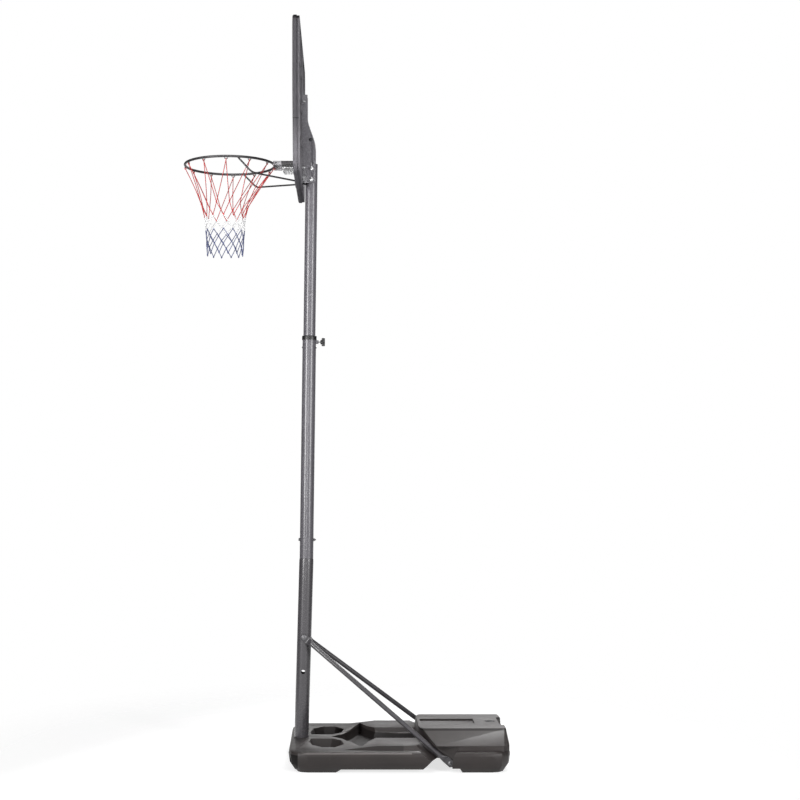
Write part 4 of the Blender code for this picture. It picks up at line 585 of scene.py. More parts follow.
fillerCap = {'x': 0.74983, 'seat': 0.1813, 'grip': (0.0300, 0.0060, 0.0060), 'gripUp': 0.0048}
lid = spun('cap', [
    (0, -0.014), (0.0147, -0.014), (0.0167, -0.012), (0.0160, -0.010), (0.0167, -0.008), (0.0160, -0.006),
    (0.0167, -0.004), (0.0167, 0), (0.0205, 0), (0.0215, 0.0010), (0.0215, 0.0030), (0.0207, 0.0041),
    (0.0192, 0.0045), (0.0180, 0.0038), (0, 0.0034),
], 64, Matrix.Translation((fillerCap['x'], 0, fillerCap['seat'])))
gripBar = primitive(bpy.ops.mesh.primitive_cube_add, fillerCap['grip'], size=1,
                    location=(fillerCap['x'], 0, fillerCap['seat'] + fillerCap['gripUp']))
roundEdges(gripBar, 0.0018, 3)
mount(joined(lid, gripBar), 'filler_lid', 'filler_cap', 'black_plastic', 'filler_cap')

wheel = {
    'x': -0.21914, 'height': 0.0510, 'track': 0.292, 'ribs': 8, 'rib': (0.0180, 0.0024, 0.0262),
    'ribOut': 0.0222, 'capSeat': 0.0173, 'rodEnd': 0.314,
}
wheelProfile = [
    (0.0053, -0.0170), (0.0118, -0.0170), (0.0124, -0.0164), (0.0138, -0.0096), (0.0150, -0.0088),
    (0.0280, -0.0088), (0.0294, -0.0098), (0.0312, -0.0150), (0.0326, -0.0160), (0.0366, -0.0152),
    (0.0398, -0.0122), (0.0407, -0.0096), (0.0402, -0.0086), (0.0410, -0.0074), (0.0410, -0.0014),
    (0.0403, -0.0006),
]
wheelProfile += [(radius, -height) for radius, height in wheelProfile[::-1]]
for side, sideName in leftRight:
    hub = facing((0, 1, 0), (wheel['x'], side * wheel['track'], wheel['height']))
    roller = spun('roller', wheelProfile, 72, hub, closed=True)
    for rib in range(wheel['ribs']):
        spoke = primitive(bpy.ops.mesh.primitive_cube_add, wheel['rib'], size=1,
                          location=(wheel['ribOut'], 0, 0))
        roundEdges(spoke, 0.0006, 2)
        spoke.data.transform(hub @ Matrix.Rotation(math.tau * rib / wheel['ribs'], 4, 'Z'))
        joined(roller, spoke)
    mount(roller, 'roller_' + sideName, 'wheel_' + sideName, 'wheel_plastic', 'wheel_' + sideName)
    pushCap = spun('pushCap', [
        (0.0053, 0), (0.0090, 0), (0.0090, 0.0022), (0.0084, 0.0034), (0.0070, 0.0050), (0.0048, 0.0058),
        (0, 0.0060), (0, 0.0053), (0.0053, 0.0053),
    ], 40, facing((0, side, 0), (wheel['x'], side * (wheel['track'] + wheel['capSeat']), wheel['height'])))
    mount(pushCap, 'push_cap_' + sideName, 'base', 'zinc', 'axle_cap_' + sideName)
tip = wheel['rodEnd']
axle = spun('axle', [
    (0, -tip), (0.0043, -tip), (0.0050, 0.0007 - tip), (0.0050, tip - 0.0007), (0.0043, tip), (0, tip),
], 40, facing((0, 1, 0), (wheel['x'], 0, wheel['height'])))
mount(axle, 'wheel_rod', 'base', 'zinc', 'wheel_axle')
print('base, wheels and filler cap done')

# mast tubes
tubes = {
    'steps': 72, 'neck': 0.140,
    'sightHeight': 0.443, 'sightRadius': 0.0110, 'strutTop': 0.620,
    'collarTop': 2.157, 'clampDown': 0.021, 'insertion': 0.205, 'top': 3.046,
}
wall = mast['wall']


def rodHole(radius, low, high, steps, matrix):
    return spun('hole', [(0, low), (radius, low), (radius, high), (0, high)], steps, matrix)


def crossHole(radius, middle, direction, reach=0.09):
    direction = Vector(direction).normalized()
    return rodHole(radius, -reach, reach, 36, facing(direction, middle))


def plainTube(name, outer, low, high):
    profile = [(outer - wall, low), (outer - 0.0004, low), (outer, low + 0.0005)]
    profile += [(outer, low + rise) for rise in (0.3, 0.6, 0.9)]
    profile += [(outer, high - 0.0005), (outer - 0.0004, high), (outer - wall, high)]
    return spun(name, profile, tubes['steps'], mastFrame, closed=True)


outer = mast['lowerRadius']
neck = mast['middleRadius'] - wall - gap
jointUp = mast['jointHeight'] / math.cos(mast['lowerLean'])
lowerTube = spun('lower', [
    (outer - wall, 0.0220), (outer - 0.0004, 0.0220), (outer, 0.0226), (outer, 0.30), (outer, 0.60),
    (outer, 0.90), (outer, jointUp - 0.0130), (outer - 0.0003, jointUp - 0.0085),
    (outer - 0.0012, jointUp - 0.0030), (outer - 0.0019, jointUp - 0.0004), (neck, jointUp - 0.0003),
    (neck, jointUp + 0.02), (neck, jointUp + tubes['neck']), (neck - wall, jointUp + tubes['neck']),
    (neck - wall, jointUp), (outer - wall, jointUp - 0.014),
], tubes['steps'], lowerFrame, closed=True)
bend = bmesh.new()                       # the neck follows the upper mast's lean
bend.from_mesh(lowerTube.data)
bmesh.ops.rotate(
    bend, cent=jointSpot,
    matrix=Matrix.Rotation(mast['lean'] - mast['lowerLean'], 3, 'Y'),
    verts=[v for v in bend.verts if v.co.z > mast['jointHeight'] + 0.002])
bend.to_mesh(lowerTube.data)
bend.free()
for radius, height in ((tubes['sightRadius'], tubes['sightHeight']), (holes['bolt'], tubes['strutTop']),
                       (holes['axle'], wheel['height'])):
    cut(lowerTube, crossHole(radius, (lowerX(height), 0, height), (0, 1, 0)))
mount(lowerTube, 'mast_lower_tube', 'base', 'mast_paint', 'lower_pole', finish='lowerEnamel')

top = alongMast(tubes['collarTop'])
middleTube = plainTube('middle', mast['middleRadius'], 0, top)
along = mastFrame.to_3x3() @ Vector((1, 0, 0))
cut(middleTube, crossHole(holes['bolt'], mastFrame @ Vector((0, 0, mast['jointBoltUp'])), along))
screwSpot = mastFrame @ Vector((0, 0, top - mast['collarScrewDown']))
cut(middleTube, crossHole(holes['screw'], screwSpot, along))
clampUp = alongMast(tubes['collarTop'] - tubes['clampDown'])
clampReach = (0.01, 0.06)
clampFrame = mastFrame @ facing((1, 0, 0), (0, 0, clampUp))
cut(middleTube, rodHole(holes['bolt'], *clampReach, 36, clampFrame))
mount(middleTube, 'mast_middle_tube', 'base', 'mast_paint', 'middle_pole')

low, high = top - tubes['insertion'], alongMast(tubes['top'])
upperTube = plainTube('upper', mast['upperRadius'], low, high)
for height in mast['boltHeights']:
    cut(upperTube, crossHole(holes['bolt'], (mastX(height), 0, height), (0, 1, 0)))
mount(upperTube, 'mast_upper_tube', 'head', 'mast_paint', 'upper_pole')
plug = mast['upperRadius'] - wall - gap
topPlug = spun('plug', [
    (0, high - 0.010), (plug - 0.0008, high - 0.010), (plug, high - 0.009), (plug, high + 0.0003),
    (0.0306, high + 0.0003), (0.0310, high + 0.0008), (0.0310, high + 0.0024), (0.0300, high + 0.0034),
    (0.0280, high + 0.0040), (0.0200, high + 0.0040), (0.0190, high + 0.0034), (0, high + 0.0034),
], tubes['steps'], mastFrame)
mount(topPlug, 'mast_top_plug', 'head', 'black_plastic', 'pole_top_cap')

# collar and height clamp, in the mast's own frame
collar = {'bore': 0.0313, 'inside': 0.0332, 'skirt': 0.0353, 'outside': 0.0378}
c = collar
bush = spun('bush', [
    (c['bore'], top - 0.066), (c['inside'] - 0.0004, top - 0.066), (c['inside'], top - 0.0655),
    (c['inside'], top + 0.0003), (c['skirt'], top + 0.0003), (c['skirt'], top - 0.011),
    (c['outside'] - 0.0006, top - 0.011), (c['outside'], top - 0.0104), (c['outside'], top - 0.0040),
    (c['outside'] - 0.0007, top - 0.0034), (c['outside'], top - 0.0028), (c['outside'], top + 0.0020),
    (c['outside'] - 0.0007, top + 0.0026), (c['outside'], top + 0.0032), (c['outside'], top + 0.0068),
    (c['outside'] - 0.0009, top + 0.0090), (c['outside'] - 0.0030, top + 0.0100),
    (c['bore'] + 0.0010, top + 0.0100), (c['bore'], top + 0.0090),
], tubes['steps'], mastFrame, closed=True)
cut(bush, crossHole(holes['screw'], screwSpot, along))
cut(bush, rodHole(holes['bolt'], *clampReach, 36, clampFrame))
mount(bush, 'collar_bush', 'base', 'black_plastic', 'pole_collar')

boss = spun('boss', [
    (0.0043, -0.003), (0.0095, -0.003), (0.0095, 0.0108), (0.0091, 0.0116), (0.0083, 0.0120),
    (0.0052, 0.0120), (0.0043, 0.0112),
], 48, mastFrame @ facing((1, 0, 0), (seat, 0, clampUp)), closed=True)
cut(boss, rodHole(seat, clampUp - 0.05, clampUp + 0.05, 96, mastFrame))
weld = []
weldReach = 0.0098
for step in range(49):                   # fillet weld where the boss meets the tube
    angle = math.tau * step / 48
    across = weldReach * math.sin(angle)
    weld.append(mastFrame @ Vector((math.sqrt(seat ** 2 - across ** 2) + 0.0004, across,
                                    clampUp + weldReach * math.cos(angle))))
joined(boss, bentBar('weld', weld, 0.0012, 2))
mount(boss, 'clamp_boss_welded', 'base', 'mast_paint', 'clamp_boss')


def threadProfile(start, end, radius, pitch):
    profile = []
    count = int((end - start) / pitch)
    for turn in range(count):
        profile += [(radius * 0.86, start + turn * pitch), (radius, start + (turn + 0.5) * pitch)]
    return profile


studThread = threadProfile(0.0015, 0.0355, 0.0040, 0.00125)
studProfile = [(0, 0), (0.0030, 0), (0.0038, 0.0010)] + studThread + [(0.0036, 0.0360), (0, 0.0360)]
stud = spun('stud', studProfile, 32, mastFrame @ facing((1, 0, 0), (collar['bore'], 0, clampUp)))
mount(stud, 'clamp_screw', 'clamp_stud', 'zinc', 'clamp_stud')

knob = {'wave': 0.0025, 'lobes': 6, 'start': 0.0573, 'points': 96}
levels = [                               # height, radius, depth of the lobes; the first closes the bore
    (0.0105, holes['bolt'], 0), (0.0, holes['bolt'], 0), (0.0, 0.0104, 0), (0.0006, 0.0110, 0),
    (0.0056, 0.0110, 0), (0.0060, 0.0150, 0.3),
    (0.0062, 0.0196, 0.8), (0.0070, 0.0214, 1), (0.0086, 0.0228, 1), (0.0110, 0.0230, 1), (0.0180, 0.0230, 1),
    (0.0208, 0.0226, 1), (0.0222, 0.0214, 1), (0.0230, 0.0192, 1), (0.0226, 0.0160, 0.8),
    (0.0214, 0.0140, 0.3), (0.0210, 0.0060, 0), (0.0208, 0.0001, 0),
]
rings = []
for rise, radius, lobe in levels:
    ring = []
    for step in range(knob['points']):
        angle = math.tau * step / knob['points']
        reach = radius - lobe * knob['wave'] * (1 - math.cos(knob['lobes'] * angle))
        ring.append((reach * math.cos(angle), reach * math.sin(angle), rise))
    rings.append(ring)
grip = skin('knob', rings)
grip.data.transform(mastFrame @ facing((1, 0, 0), (knob['start'], 0, clampUp)))
mount(grip, 'clamp_grip', 'clamp_knob', 'black_plastic', 'clamp_knob')
print('mast, collar and clamp done')

# struts: flattened ends, a round tube between
strut = {
    'radius': 0.0120, 'flat': 0.0032, 'flatHalf': 0.0185, 'topHeight': 0.620, 'end': 0.018, 'flatRun': 0.022,
    'swell': 0.030, 'footX': 0.51683, 'footY': 0.331, 'footHeight': 0.042, 'points': 32,
}


def strutLine(side):
    middle = side * (mast['lowerRadius'] + gap + strut['flat'] / 2)
    topSpot = Vector((lowerX(strut['topHeight']), middle, strut['topHeight']))
    footSpot = Vector((strut['footX'], side * strut['footY'], strut['footHeight']))
    direction = (footSpot - topSpot).normalized()
    normal = Vector((direction.y, -direction.x, 0)).normalized()
    if normal.y * side < 0:
        normal.negate()
    return topSpot, footSpot, direction, normal


def strutSection(centre, wide, thick, halfWide, halfThick, roundness):
    points = []
    for step in range(strut['points']):
        angle = math.tau * step / strut['points']
        roundA, roundB = math.cos(angle), math.sin(angle)
        flatA = math.copysign(abs(roundA) ** 0.30, roundA)
        flatB = math.copysign(abs(roundB) ** 0.22, roundB)
        a = flatA + (roundA - flatA) * roundness
        b = flatB + (roundB - flatB) * roundness
        points.append(centre + wide * (a * halfWide) + thick * (b * halfThick))
    return points


def easeIn(t):
    return t * t * (3 - 2 * t)


for side, sideName in leftRight:
    topSpot, footSpot, direction, normal = strutLine(side)
    run = Vector((footSpot.x - topSpot.x, 0, footSpot.z - topSpot.z)).normalized()
    bendSpot = topSpot + run * strut['flatRun']
    shift = normal * (strut['radius'] - strut['flat'] / 2)
    across = Vector((0, side, 0))
    wideTop = run.cross(across)
    wide = direction.cross(normal)
    lineStart = bendSpot + across * 0.006 + direction * strut['swell']
    lineEnd = footSpot - direction * (strut['flatRun'] + strut['swell'])
    half, flatHalf, big = strut['flat'] / 2, strut['flatHalf'], strut['radius']
    rings = []
    for share, width in ((1.0, 0.30), (0.97, 0.52), (0.90, 0.74), (0.75, 0.93), (0.55, 1.0)):
        middle = topSpot - run * strut['end'] * share
        rings.append(strutSection(middle, wideTop, across, flatHalf * width, half, 0))
    rings.append(strutSection(bendSpot, wideTop, across, flatHalf, half, 0))
    for step in range(1, 8):             # the flat swells into the tube
        t = step / 8
        ease = easeIn(t)
        middle = bendSpot.lerp(lineStart, t)
        wideNow, thickNow = wideTop.lerp(wide, ease).normalized(), across.lerp(normal, ease).normalized()
        rings.append(strutSection(middle, wideNow, thickNow, flatHalf + (big - flatHalf) * ease,
                                  half + (big - half) * ease, ease))
    for step in range(5):
        rings.append(strutSection(lineStart.lerp(lineEnd, step / 4), wide, normal, big, big, 1))
    for step in range(1, 8):
        t = step / 8
        ease = easeIn(t)
        middle = lineEnd.lerp(footSpot - direction * strut['flatRun'], t) - shift * ease
        rings.append(strutSection(middle, wide, normal, big + (flatHalf - big) * ease,
                                  big + (half - big) * ease, 1 - ease))
    for share, width in ((-1.2, 1.0), (0.55, 1.0), (0.75, 0.93), (0.90, 0.74), (0.97, 0.52), (1.0, 0.30)):
        rings.append(strutSection(footSpot + direction * strut['end'] * share - shift, wide, normal,
                                  flatHalf * width, half, 0))
    leg = skin('leg', rings)
    drain = lineEnd - direction * big * 2
    cut(leg, rodHole(0.0020, -0.004, 0.02, 20, facing(-wide * side, drain - wide * side * 0.008)))
    for middle, way in ((topSpot, across), (footSpot, normal)):
        cut(leg, crossHole(holes['bolt'], middle, way, 0.03))
    mount(leg, 'strut_tube_' + sideName, 'base', 'mast_paint', 'strut_' + sideName, finish='strutEnamel')
print('struts done')

# fasteners: each kind is modelled once and copied; the head lies below z = 0
fastener = {
    'hex': 0.0073, 'head': 0.0055, 'nut': 0.0065, 'collar': 0.0016, 'collarRadius': 0.0095, 'shank': 0.0040,
    'dull': ('strut_foot', 'strut_top', 'pole_joint'), 'plateSeat': 0.0346, 'springY': 0.0505,
    'springSeat': -0.30693, 'washerSeat': -0.30513, 'tie': (-0.16853, 3.170),
    'pitch': 0.00125, 'thread': 0.016, 'boardHeights': (('lower', 2.974), ('upper', 3.360)),
    'strutTop': (0.0931, 0.0125), 'poleJoint': 0.0831, 'strutFoot': 0.024, 'plates': 0.0817, 'spring': 0.1105,
    'board': (0.0497, 0.0085, 0.004, 0.004, 0.014),          # length, head, head height, shank, thread
    'collarScrew': (0.0034, 0.005, 0.003, 0.0025, 0),
}
patterns = {}


def patternCopy(make, *sizes):
    key = (make.__name__,) + sizes
    if key not in patterns:
        patterns[key] = make(*sizes)
    piece = bpy.data.objects.new('copy', patterns[key].data.copy())
    bpy.context.collection.objects.link(piece)
    return piece


def hexBlock(low, high, chamferLow, chamferHigh, bore=0.0):
    block = primitive(bpy.ops.mesh.primitive_cylinder_add, vertices=6, radius=fastener['hex'],
                      depth=high - low, location=(0, 0, (low + high) / 2))
    chamfer = fastener['hex'] * math.cos(math.pi / 6) * 0.97
    big = fastener['hex'] + 0.001
    drop = (big - chamfer) * 0.55
    if chamferLow:
        lens = [(bore, low), (chamfer, low), (big, low + drop)]
    else:
        lens = [(bore, low - 0.001), (big, low - 0.001)]
    if chamferHigh:
        lens += [(big, high - drop), (chamfer, high), (bore, high)]
    else:
        lens += [(big, high + 0.001), (bore, high + 0.001)]
    return cut(block, spun('lens', lens, 48, closed=bore > 0), 'INTERSECT')


def washerCollar(low, high, radius, bore=0.0):
    rise = high - low
    return spun('collar', [
        (bore, low), (radius * 0.80, low), (radius - 0.0006, low + rise * 0.55),
        (radius, low + rise * 0.75), (radius - 0.0001, high), (bore, high),
    ], 48, closed=bore > 0)


def shank(length, radius, threaded):
    start = max(0.0, length - threaded)
    profile = [(0, -0.001), (radius, -0.001), (radius, start)]
    profile += threadProfile(start, length - 0.0012, radius, fastener['pitch'])
    return spun('shank', profile + [(radius * 0.82, length - 0.0006), (radius * 0.66, length), (0, length)],
                24)


def hexBolt(length, collarRadius=fastener['collarRadius']):
    f = fastener
    head = hexBlock(-f['collar'] - f['head'], -f['collar'] * 0.5, True, False)
    return joined(head, washerCollar(-f['collar'], 0, collarRadius), shank(length, f['shank'], f['thread']))


def hexNut(collarRadius=fastener['collarRadius']):
    f = fastener
    block = hexBlock(f['collar'] * 0.5, f['nut'], False, True, holes['bolt'])
    flipped = washerCollar(-f['collar'], 0, collarRadius, holes['bolt'])
    flipped.data.transform(Matrix.Rotation(math.pi, 4, 'X'))
    return joined(block, flipped)


def domeBolt(length, radius, height, shankRadius, threaded):
    dome = spun('dome', [
        (0, -height), (radius * 0.30, -height * 0.98), (radius * 0.58, -height * 0.86),
        (radius * 0.80, -height * 0.66), (radius * 0.94, -height * 0.38), (radius, -height * 0.12),
        (radius * 0.97, 0), (0, 0),
    ], 40)
    return joined(dome, shank(length, shankRadius, threaded))


def flatWasher():
    return spun('washer', [
        (holes['bolt'], 0), (0.0151, 0), (0.0155, 0.0004), (0.0155, 0.0011), (0.0151, 0.0015),
        (holes['bolt'], 0.0015),
    ], 48, closed=True)


def fasten(nodeName, body, matrix, make, *sizes, slotName='zinc'):
    piece = patternCopy(make, *sizes)
    piece.data.transform(matrix)
    finish = 'dullZinc' if nodeName.startswith(fastener['dull']) else None
    mount(piece, nodeName + '_fine', body, slotName, nodeName, angle=30, finish=finish)


boardFace, boardBack = -0.24583, -0.21253
rearSeat = boardBack + 0.0036
strutSeat = mast['lowerRadius'] + strut['flat'] + 2 * gap
strutHeight = strut['topHeight']
strutTop = fastener['strutTop']
for side, kind, sizes in ((-1, 'bolt', (hexBolt, *strutTop)), (1, 'nut', (hexNut, strutTop[1]))):
    spot = (lowerX(strutHeight), side * strutSeat, strutHeight)
    fasten('strut_top_' + kind, 'base', facing((0, 1, 0), spot), *sizes)
for side, kind, sizes in ((-1, 'bolt', (hexBolt, fastener['poleJoint'])), (1, 'nut', (hexNut,))):
    spot = (side * seat, 0, mast['jointBoltUp'])
    fasten('pole_joint_' + kind, 'base', mastFrame @ facing((1, 0, 0), spot), *sizes)
for side, sideName in leftRight:
    _, footSpot, _, normal = strutLine(side)
    footSeat = footSpot - normal * (strut['radius'] - strut['flat'] - gap)
    fasten('strut_foot_bolt_' + sideName, 'base', facing(-normal, footSeat), hexBolt,
           fastener['strutFoot'])
screwUp = alongMast(tubes['collarTop'] - mast['collarScrewDown'])
for side, sideName in ((-1, 'front'), (1, 'rear')):
    fasten('collar_screw_' + sideName, 'base', mastFrame @ facing((-side, 0, 0), (side * seat, 0, screwUp)),
           domeBolt, *fastener['collarScrew'])
upperBolt, lowerBolt = mast['boltHeights']
plateBolts = [('bracket_bolt_upper', mastX(upperBolt), upperBolt, 'zinc'),
              ('bracket_bolt_lower', mastX(lowerBolt), lowerBolt, 'zinc'),
              ('bracket_tie_bolt', *fastener['tie'], 'black_steel')]
for nodeName, x, z, slotName in plateBolts:
    for side, ending, sizes in ((-1, '', (hexBolt, fastener['plates'])), (1, '_nut', (hexNut,))):
        spot = (x, side * fastener['plateSeat'], z)
        fasten(nodeName + ending, 'head', facing((0, 1, 0), spot), *sizes, slotName=slotName)
springRow = [('bolt', 1, fastener['springSeat'], (hexBolt, fastener['spring'])),
             ('nut', 1, rearSeat, (hexNut,)), ('washer', -1, fastener['washerSeat'], (flatWasher,))]
for side, sideName in leftRight:
    y = side * fastener['springY']
    for level, z in fastener['boardHeights']:
        place = level + '_' + sideName
        fasten('board_bolt_' + place, 'head', facing((1, 0, 0), (boardFace - gap, y, z)),
               domeBolt, *fastener['board'])
        fasten('board_nut_' + place, 'head', facing((1, 0, 0), (rearSeat, y, z)), hexNut)
    for kind, way, x, sizes in springRow:
        fasten('spring_' + kind + '_' + sideName, 'head', facing((way, 0, 0), (x, y, upperBolt)), *sizes)
for pattern in patterns.values():
    bpy.data.objects.remove(pattern)
print('fasteners done')

# board and bracket
boardEdges = {'panel': 0.0018, 'frame': 0.0016, 'plate': 0.0005}
for nodeName, name, slotName, edge in (
        ('backboard_panel', 'board_panel', 'board_plastic', boardEdges['panel']),
        ('backboard_frame', 'board_rear_frame', 'board_plastic', boardEdges['frame']),
        ('bracket_plate_left', 'bracket_sheet_left', 'mast_paint', boardEdges['plate']),
        ('bracket_plate_right', 'bracket_sheet_right', 'mast_paint', boardEdges['plate'])):
    mount(roundEdges(copyOfNode(nodeName, name), edge), name, 'head', slotName, nodeName)

# rim: ring, hooks, arm and braces
rim = {
    'x': -0.58633, 'height': 3.04375, 'radius': 0.22925, 'rod': 0.00625, 'hooks': 12, 'hookWire': 0.0018,
    'hookHalf': 0.0075, 'hookDrop': 0.009, 'hookTop': 0.003, 'hookBend': 0.0045, 'bead': 0.0030,
    'beadUp': 0.0006, 'plateFront': -0.25013, 'armEdge': 0.0006,
}
stay = {                                 # the two braces, from the ring down to the plate
    'leave': 0.055, 'lift': 0.0066, 'down': (0.070, 0.203, 2.9700), 'level': (0.040, 0.168, 2.9665),
    'end': (-0.0004, 0.0518, 2.9556), 'bend': 0.020, 'radius': 0.0045,
}
ring = primitive(bpy.ops.mesh.primitive_torus_add, major_radius=rim['radius'], minor_radius=rim['rod'],
                 major_segments=144, minor_segments=24, location=(rim['x'], 0, rim['height']))
beadRise = Vector((0, 0, rim['height'] - rim['rod'] + rim['beadUp']))
for index in range(rim['hooks']):
    angle = math.tau * index / rim['hooks']
    tangent = Vector((-math.sin(angle), math.cos(angle), 0))
    centre = Vector((rim['x'] + rim['radius'] * math.cos(angle), rim['radius'] * math.sin(angle), 0))
    low = rim['height'] - rim['rod'] - rim['hookDrop'] + rim['hookWire']
    high = rim['height'] - rim['hookTop']
    spots = [centre + tangent * (end * rim['hookHalf']) + Vector((0, 0, z))
             for end, z in ((-1, high), (-1, low), (1, low), (1, high))]
    joined(ring, bentBar('hook', smoothPath(spots, rim['hookBend']), rim['hookWire'], 3))
    for end in (-1, 1):                  # weld bead at each leg of the hook
        bead = primitive(bpy.ops.mesh.primitive_uv_sphere_add, (1.0, 1.0, 0.6), segments=12, ring_count=8,
                         radius=rim['bead'], location=centre + tangent * (end * rim['hookHalf']) + beadRise)
        joined(ring, bead)
mount(ring, 'rim_hoop', 'rim', 'rim_paint', 'rim_ring', angle=50)
arm = copyOfNode('rim_bracket', 'arm')
mount(roundEdges(arm, rim['armEdge']), 'rim_arm', 'rim', 'rim_paint', 'rim_bracket', finish='armCoat')


def staySpot(x, name, side):
    back, out, height = stay[name]
    return Vector((x + back, side * out, height))


for side, sideName in leftRight:
    leave = math.acos(stay['leave'] / rim['radius'])
    start = Vector((rim['x'] + stay['leave'], side * rim['radius'] * math.sin(leave), rim['height']))
    down = staySpot(start.x, 'down', side)
    level = staySpot(down.x, 'level', side)
    end = staySpot(rim['plateFront'], 'end', side)
    lift = start + (down - start).normalized() * stay['lift']
    brace = bentBar('brace', smoothPath([lift, down, level, end], stay['bend'], 10), stay['radius'], 5)
    mount(brace, 'rim_stay_' + sideName, 'rim', 'rim_paint', 'rim_brace_' + sideName)
print('board and rim done')

# springs of the rim's mounting
spring = {
    'height': upperBolt, 'y': fastener['springY'], 'radius': 0.0140, 'wire': 0.0015, 'length': 0.0550,
    'turns': 7, 'perTurn': 28, 'closedPitch': 0.0045, 'seat': -0.30313, 'keep': 0.80,
}
for side, sideName in leftRight:
    closed = spring['closedPitch']
    lowX = rim['plateFront'] - gap - spring['wire']
    span = spring['length'] - 2 * (spring['wire'] + gap)
    steps = spring['turns'] * spring['perTurn']
    path = []
    for step in range(steps + 1):
        turns = step / spring['perTurn']
        share = (turns - 1.0) / (spring['turns'] - 2.0)
        x = closed + share * (span - 2 * closed)
        if turns < 1.0:                  # both end turns lie closed
            x = closed * turns
        elif turns > spring['turns'] - 1.0:
            x = span - closed * (spring['turns'] - turns)
        angle = math.tau * turns
        path.append(Vector((lowX - x, side * spring['y'] + spring['radius'] * math.cos(angle),
                            spring['height'] + spring['radius'] * math.sin(angle))))
    coil = bentBar('coil', path, spring['wire'], 3)
    mount(coil, 'mount_spring_' + sideName, 'head', 'zinc', 'rim_spring_' + sideName, angle=60)
    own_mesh(coil)
print('springs done')

# net: one cord lattice in three colours
net = {
    'cord': 0.0020, 'columns': 12, 'topHeight': 3.0262, 'topRadius': 0.2275, 'sway': 0.025,
    'rows': [(2.838, 0.1220), (2.776, 0.1040), (2.740, 0.1010), (2.706, 0.0990), (2.670, 0.0975),
             (2.631, 0.0955), (2.583, 0.0930)],
    'bands': [('red', 0, 2), ('white', 2, 4), ('blue', 4, 7)],
    'sides': 8, 'knotSize': 0.0034, 'knotCord': 0.0015, 'drift': 0.0016, 'bow': 0.0012, 'topBow': 0.0045,
    'loopHeight': 3.0303, 'loopCord': 0.0018, 'loopHalf': (0.0040, 0.0050), 'loopShift': (0.0008, 0.0012),
}


def netSpot(row, index):
    if row == 0:
        height, radius = net['topHeight'], net['topRadius']
    else:
        height, radius = net['rows'][row - 1]
    share = min(1.0, (rim['height'] - height) / (rim['height'] - net['rows'][0][0])) ** 1.5
    angle = math.tau * (index + (row % 2) / 2) / net['columns']
    drift = 0.0 if row == 0 else net['drift']
    seed = 12.9898 * (row + 1) + 78.233 * (index % net['columns'])
    return Vector((rim['x'] - net['sway'] * share + radius * math.cos(angle) + drift * math.sin(seed),
                   radius * math.sin(angle) + drift * math.sin(seed * 1.7),
                   height + drift * math.sin(seed * 2.3)))


def cordTube(store, path, radius):
    corners, faces, lengths = store
    sides = net['sides']
    first = len(corners)
    distance = 0.0
    normal = None
    for index, spot in enumerate(path):
        ahead, behind = path[min(index + 1, len(path) - 1)], path[max(index - 1, 0)]
        tangent = (ahead - behind).normalized()
        if normal is None:
            normal = tangent.orthogonal().normalized()
        normal = (normal - tangent * normal.dot(tangent)).normalized()
        other = tangent.cross(normal)
        if index:
            distance += (spot - path[index - 1]).length
        for step in range(sides):
            angle = math.tau * step / sides
            corners.append(spot + (normal * math.cos(angle) + other * math.sin(angle)) * radius)
            lengths.append(distance)
        if index:
            row = first + (index - 1) * sides
            for step in range(sides):
                after = (step + 1) % sides
                faces.append(((row + step, row + after, row + sides + after, row + sides + step), step))
    faces.append((tuple(range(first + sides - 1, first - 1, -1)), None))
    faces.append((tuple(range(len(corners) - sides, len(corners))), None))


def cordMesh(name, store):
    corners, faces, lengths = store
    sides = net['sides']
    piece = newPiece(name, corners, [], [face for face, _ in faces])
    layer = piece.data.uv_layers.new(name='cordLength')
    for polygon, (face, step) in zip(piece.data.polygons, faces):
        for place, corner in zip(polygon.loop_indices, face):
            around = (corner % sides) / sides
            if step is not None and step == sides - 1 and corner % sides == 0:
                around = 1.0
            layer.data[place].uv = (lengths[corner], around)
    return piece


def strandPath(start, end, bow):
    path = []
    outward = Vector((start.x + end.x - 2 * rim['x'] + 2 * net['sway'], start.y + end.y, 0)).normalized()
    for step in range(9):
        t = step / 8
        swell = math.sin(math.pi * t)
        path.append(start.lerp(end, t) + outward * (bow * swell) - Vector((0, 0, abs(bow) * swell * 0.6)))
    return path


def knotPath(centre, spoke):
    side = Vector((-spoke.y, spoke.x, 0))
    path = []
    for step in range(25):
        t = math.tau * step / 24
        a = (math.sin(t) + 2 * math.sin(2 * t)) / 3
        b = (math.cos(t) - 2 * math.cos(2 * t)) / 3
        out = -math.sin(3 * t) * 0.45
        path.append(centre + side * (a * net['knotSize']) + Vector((0, 0, b * net['knotSize'] * 1.15))
                    + spoke * (out * net['knotSize']))
    return path


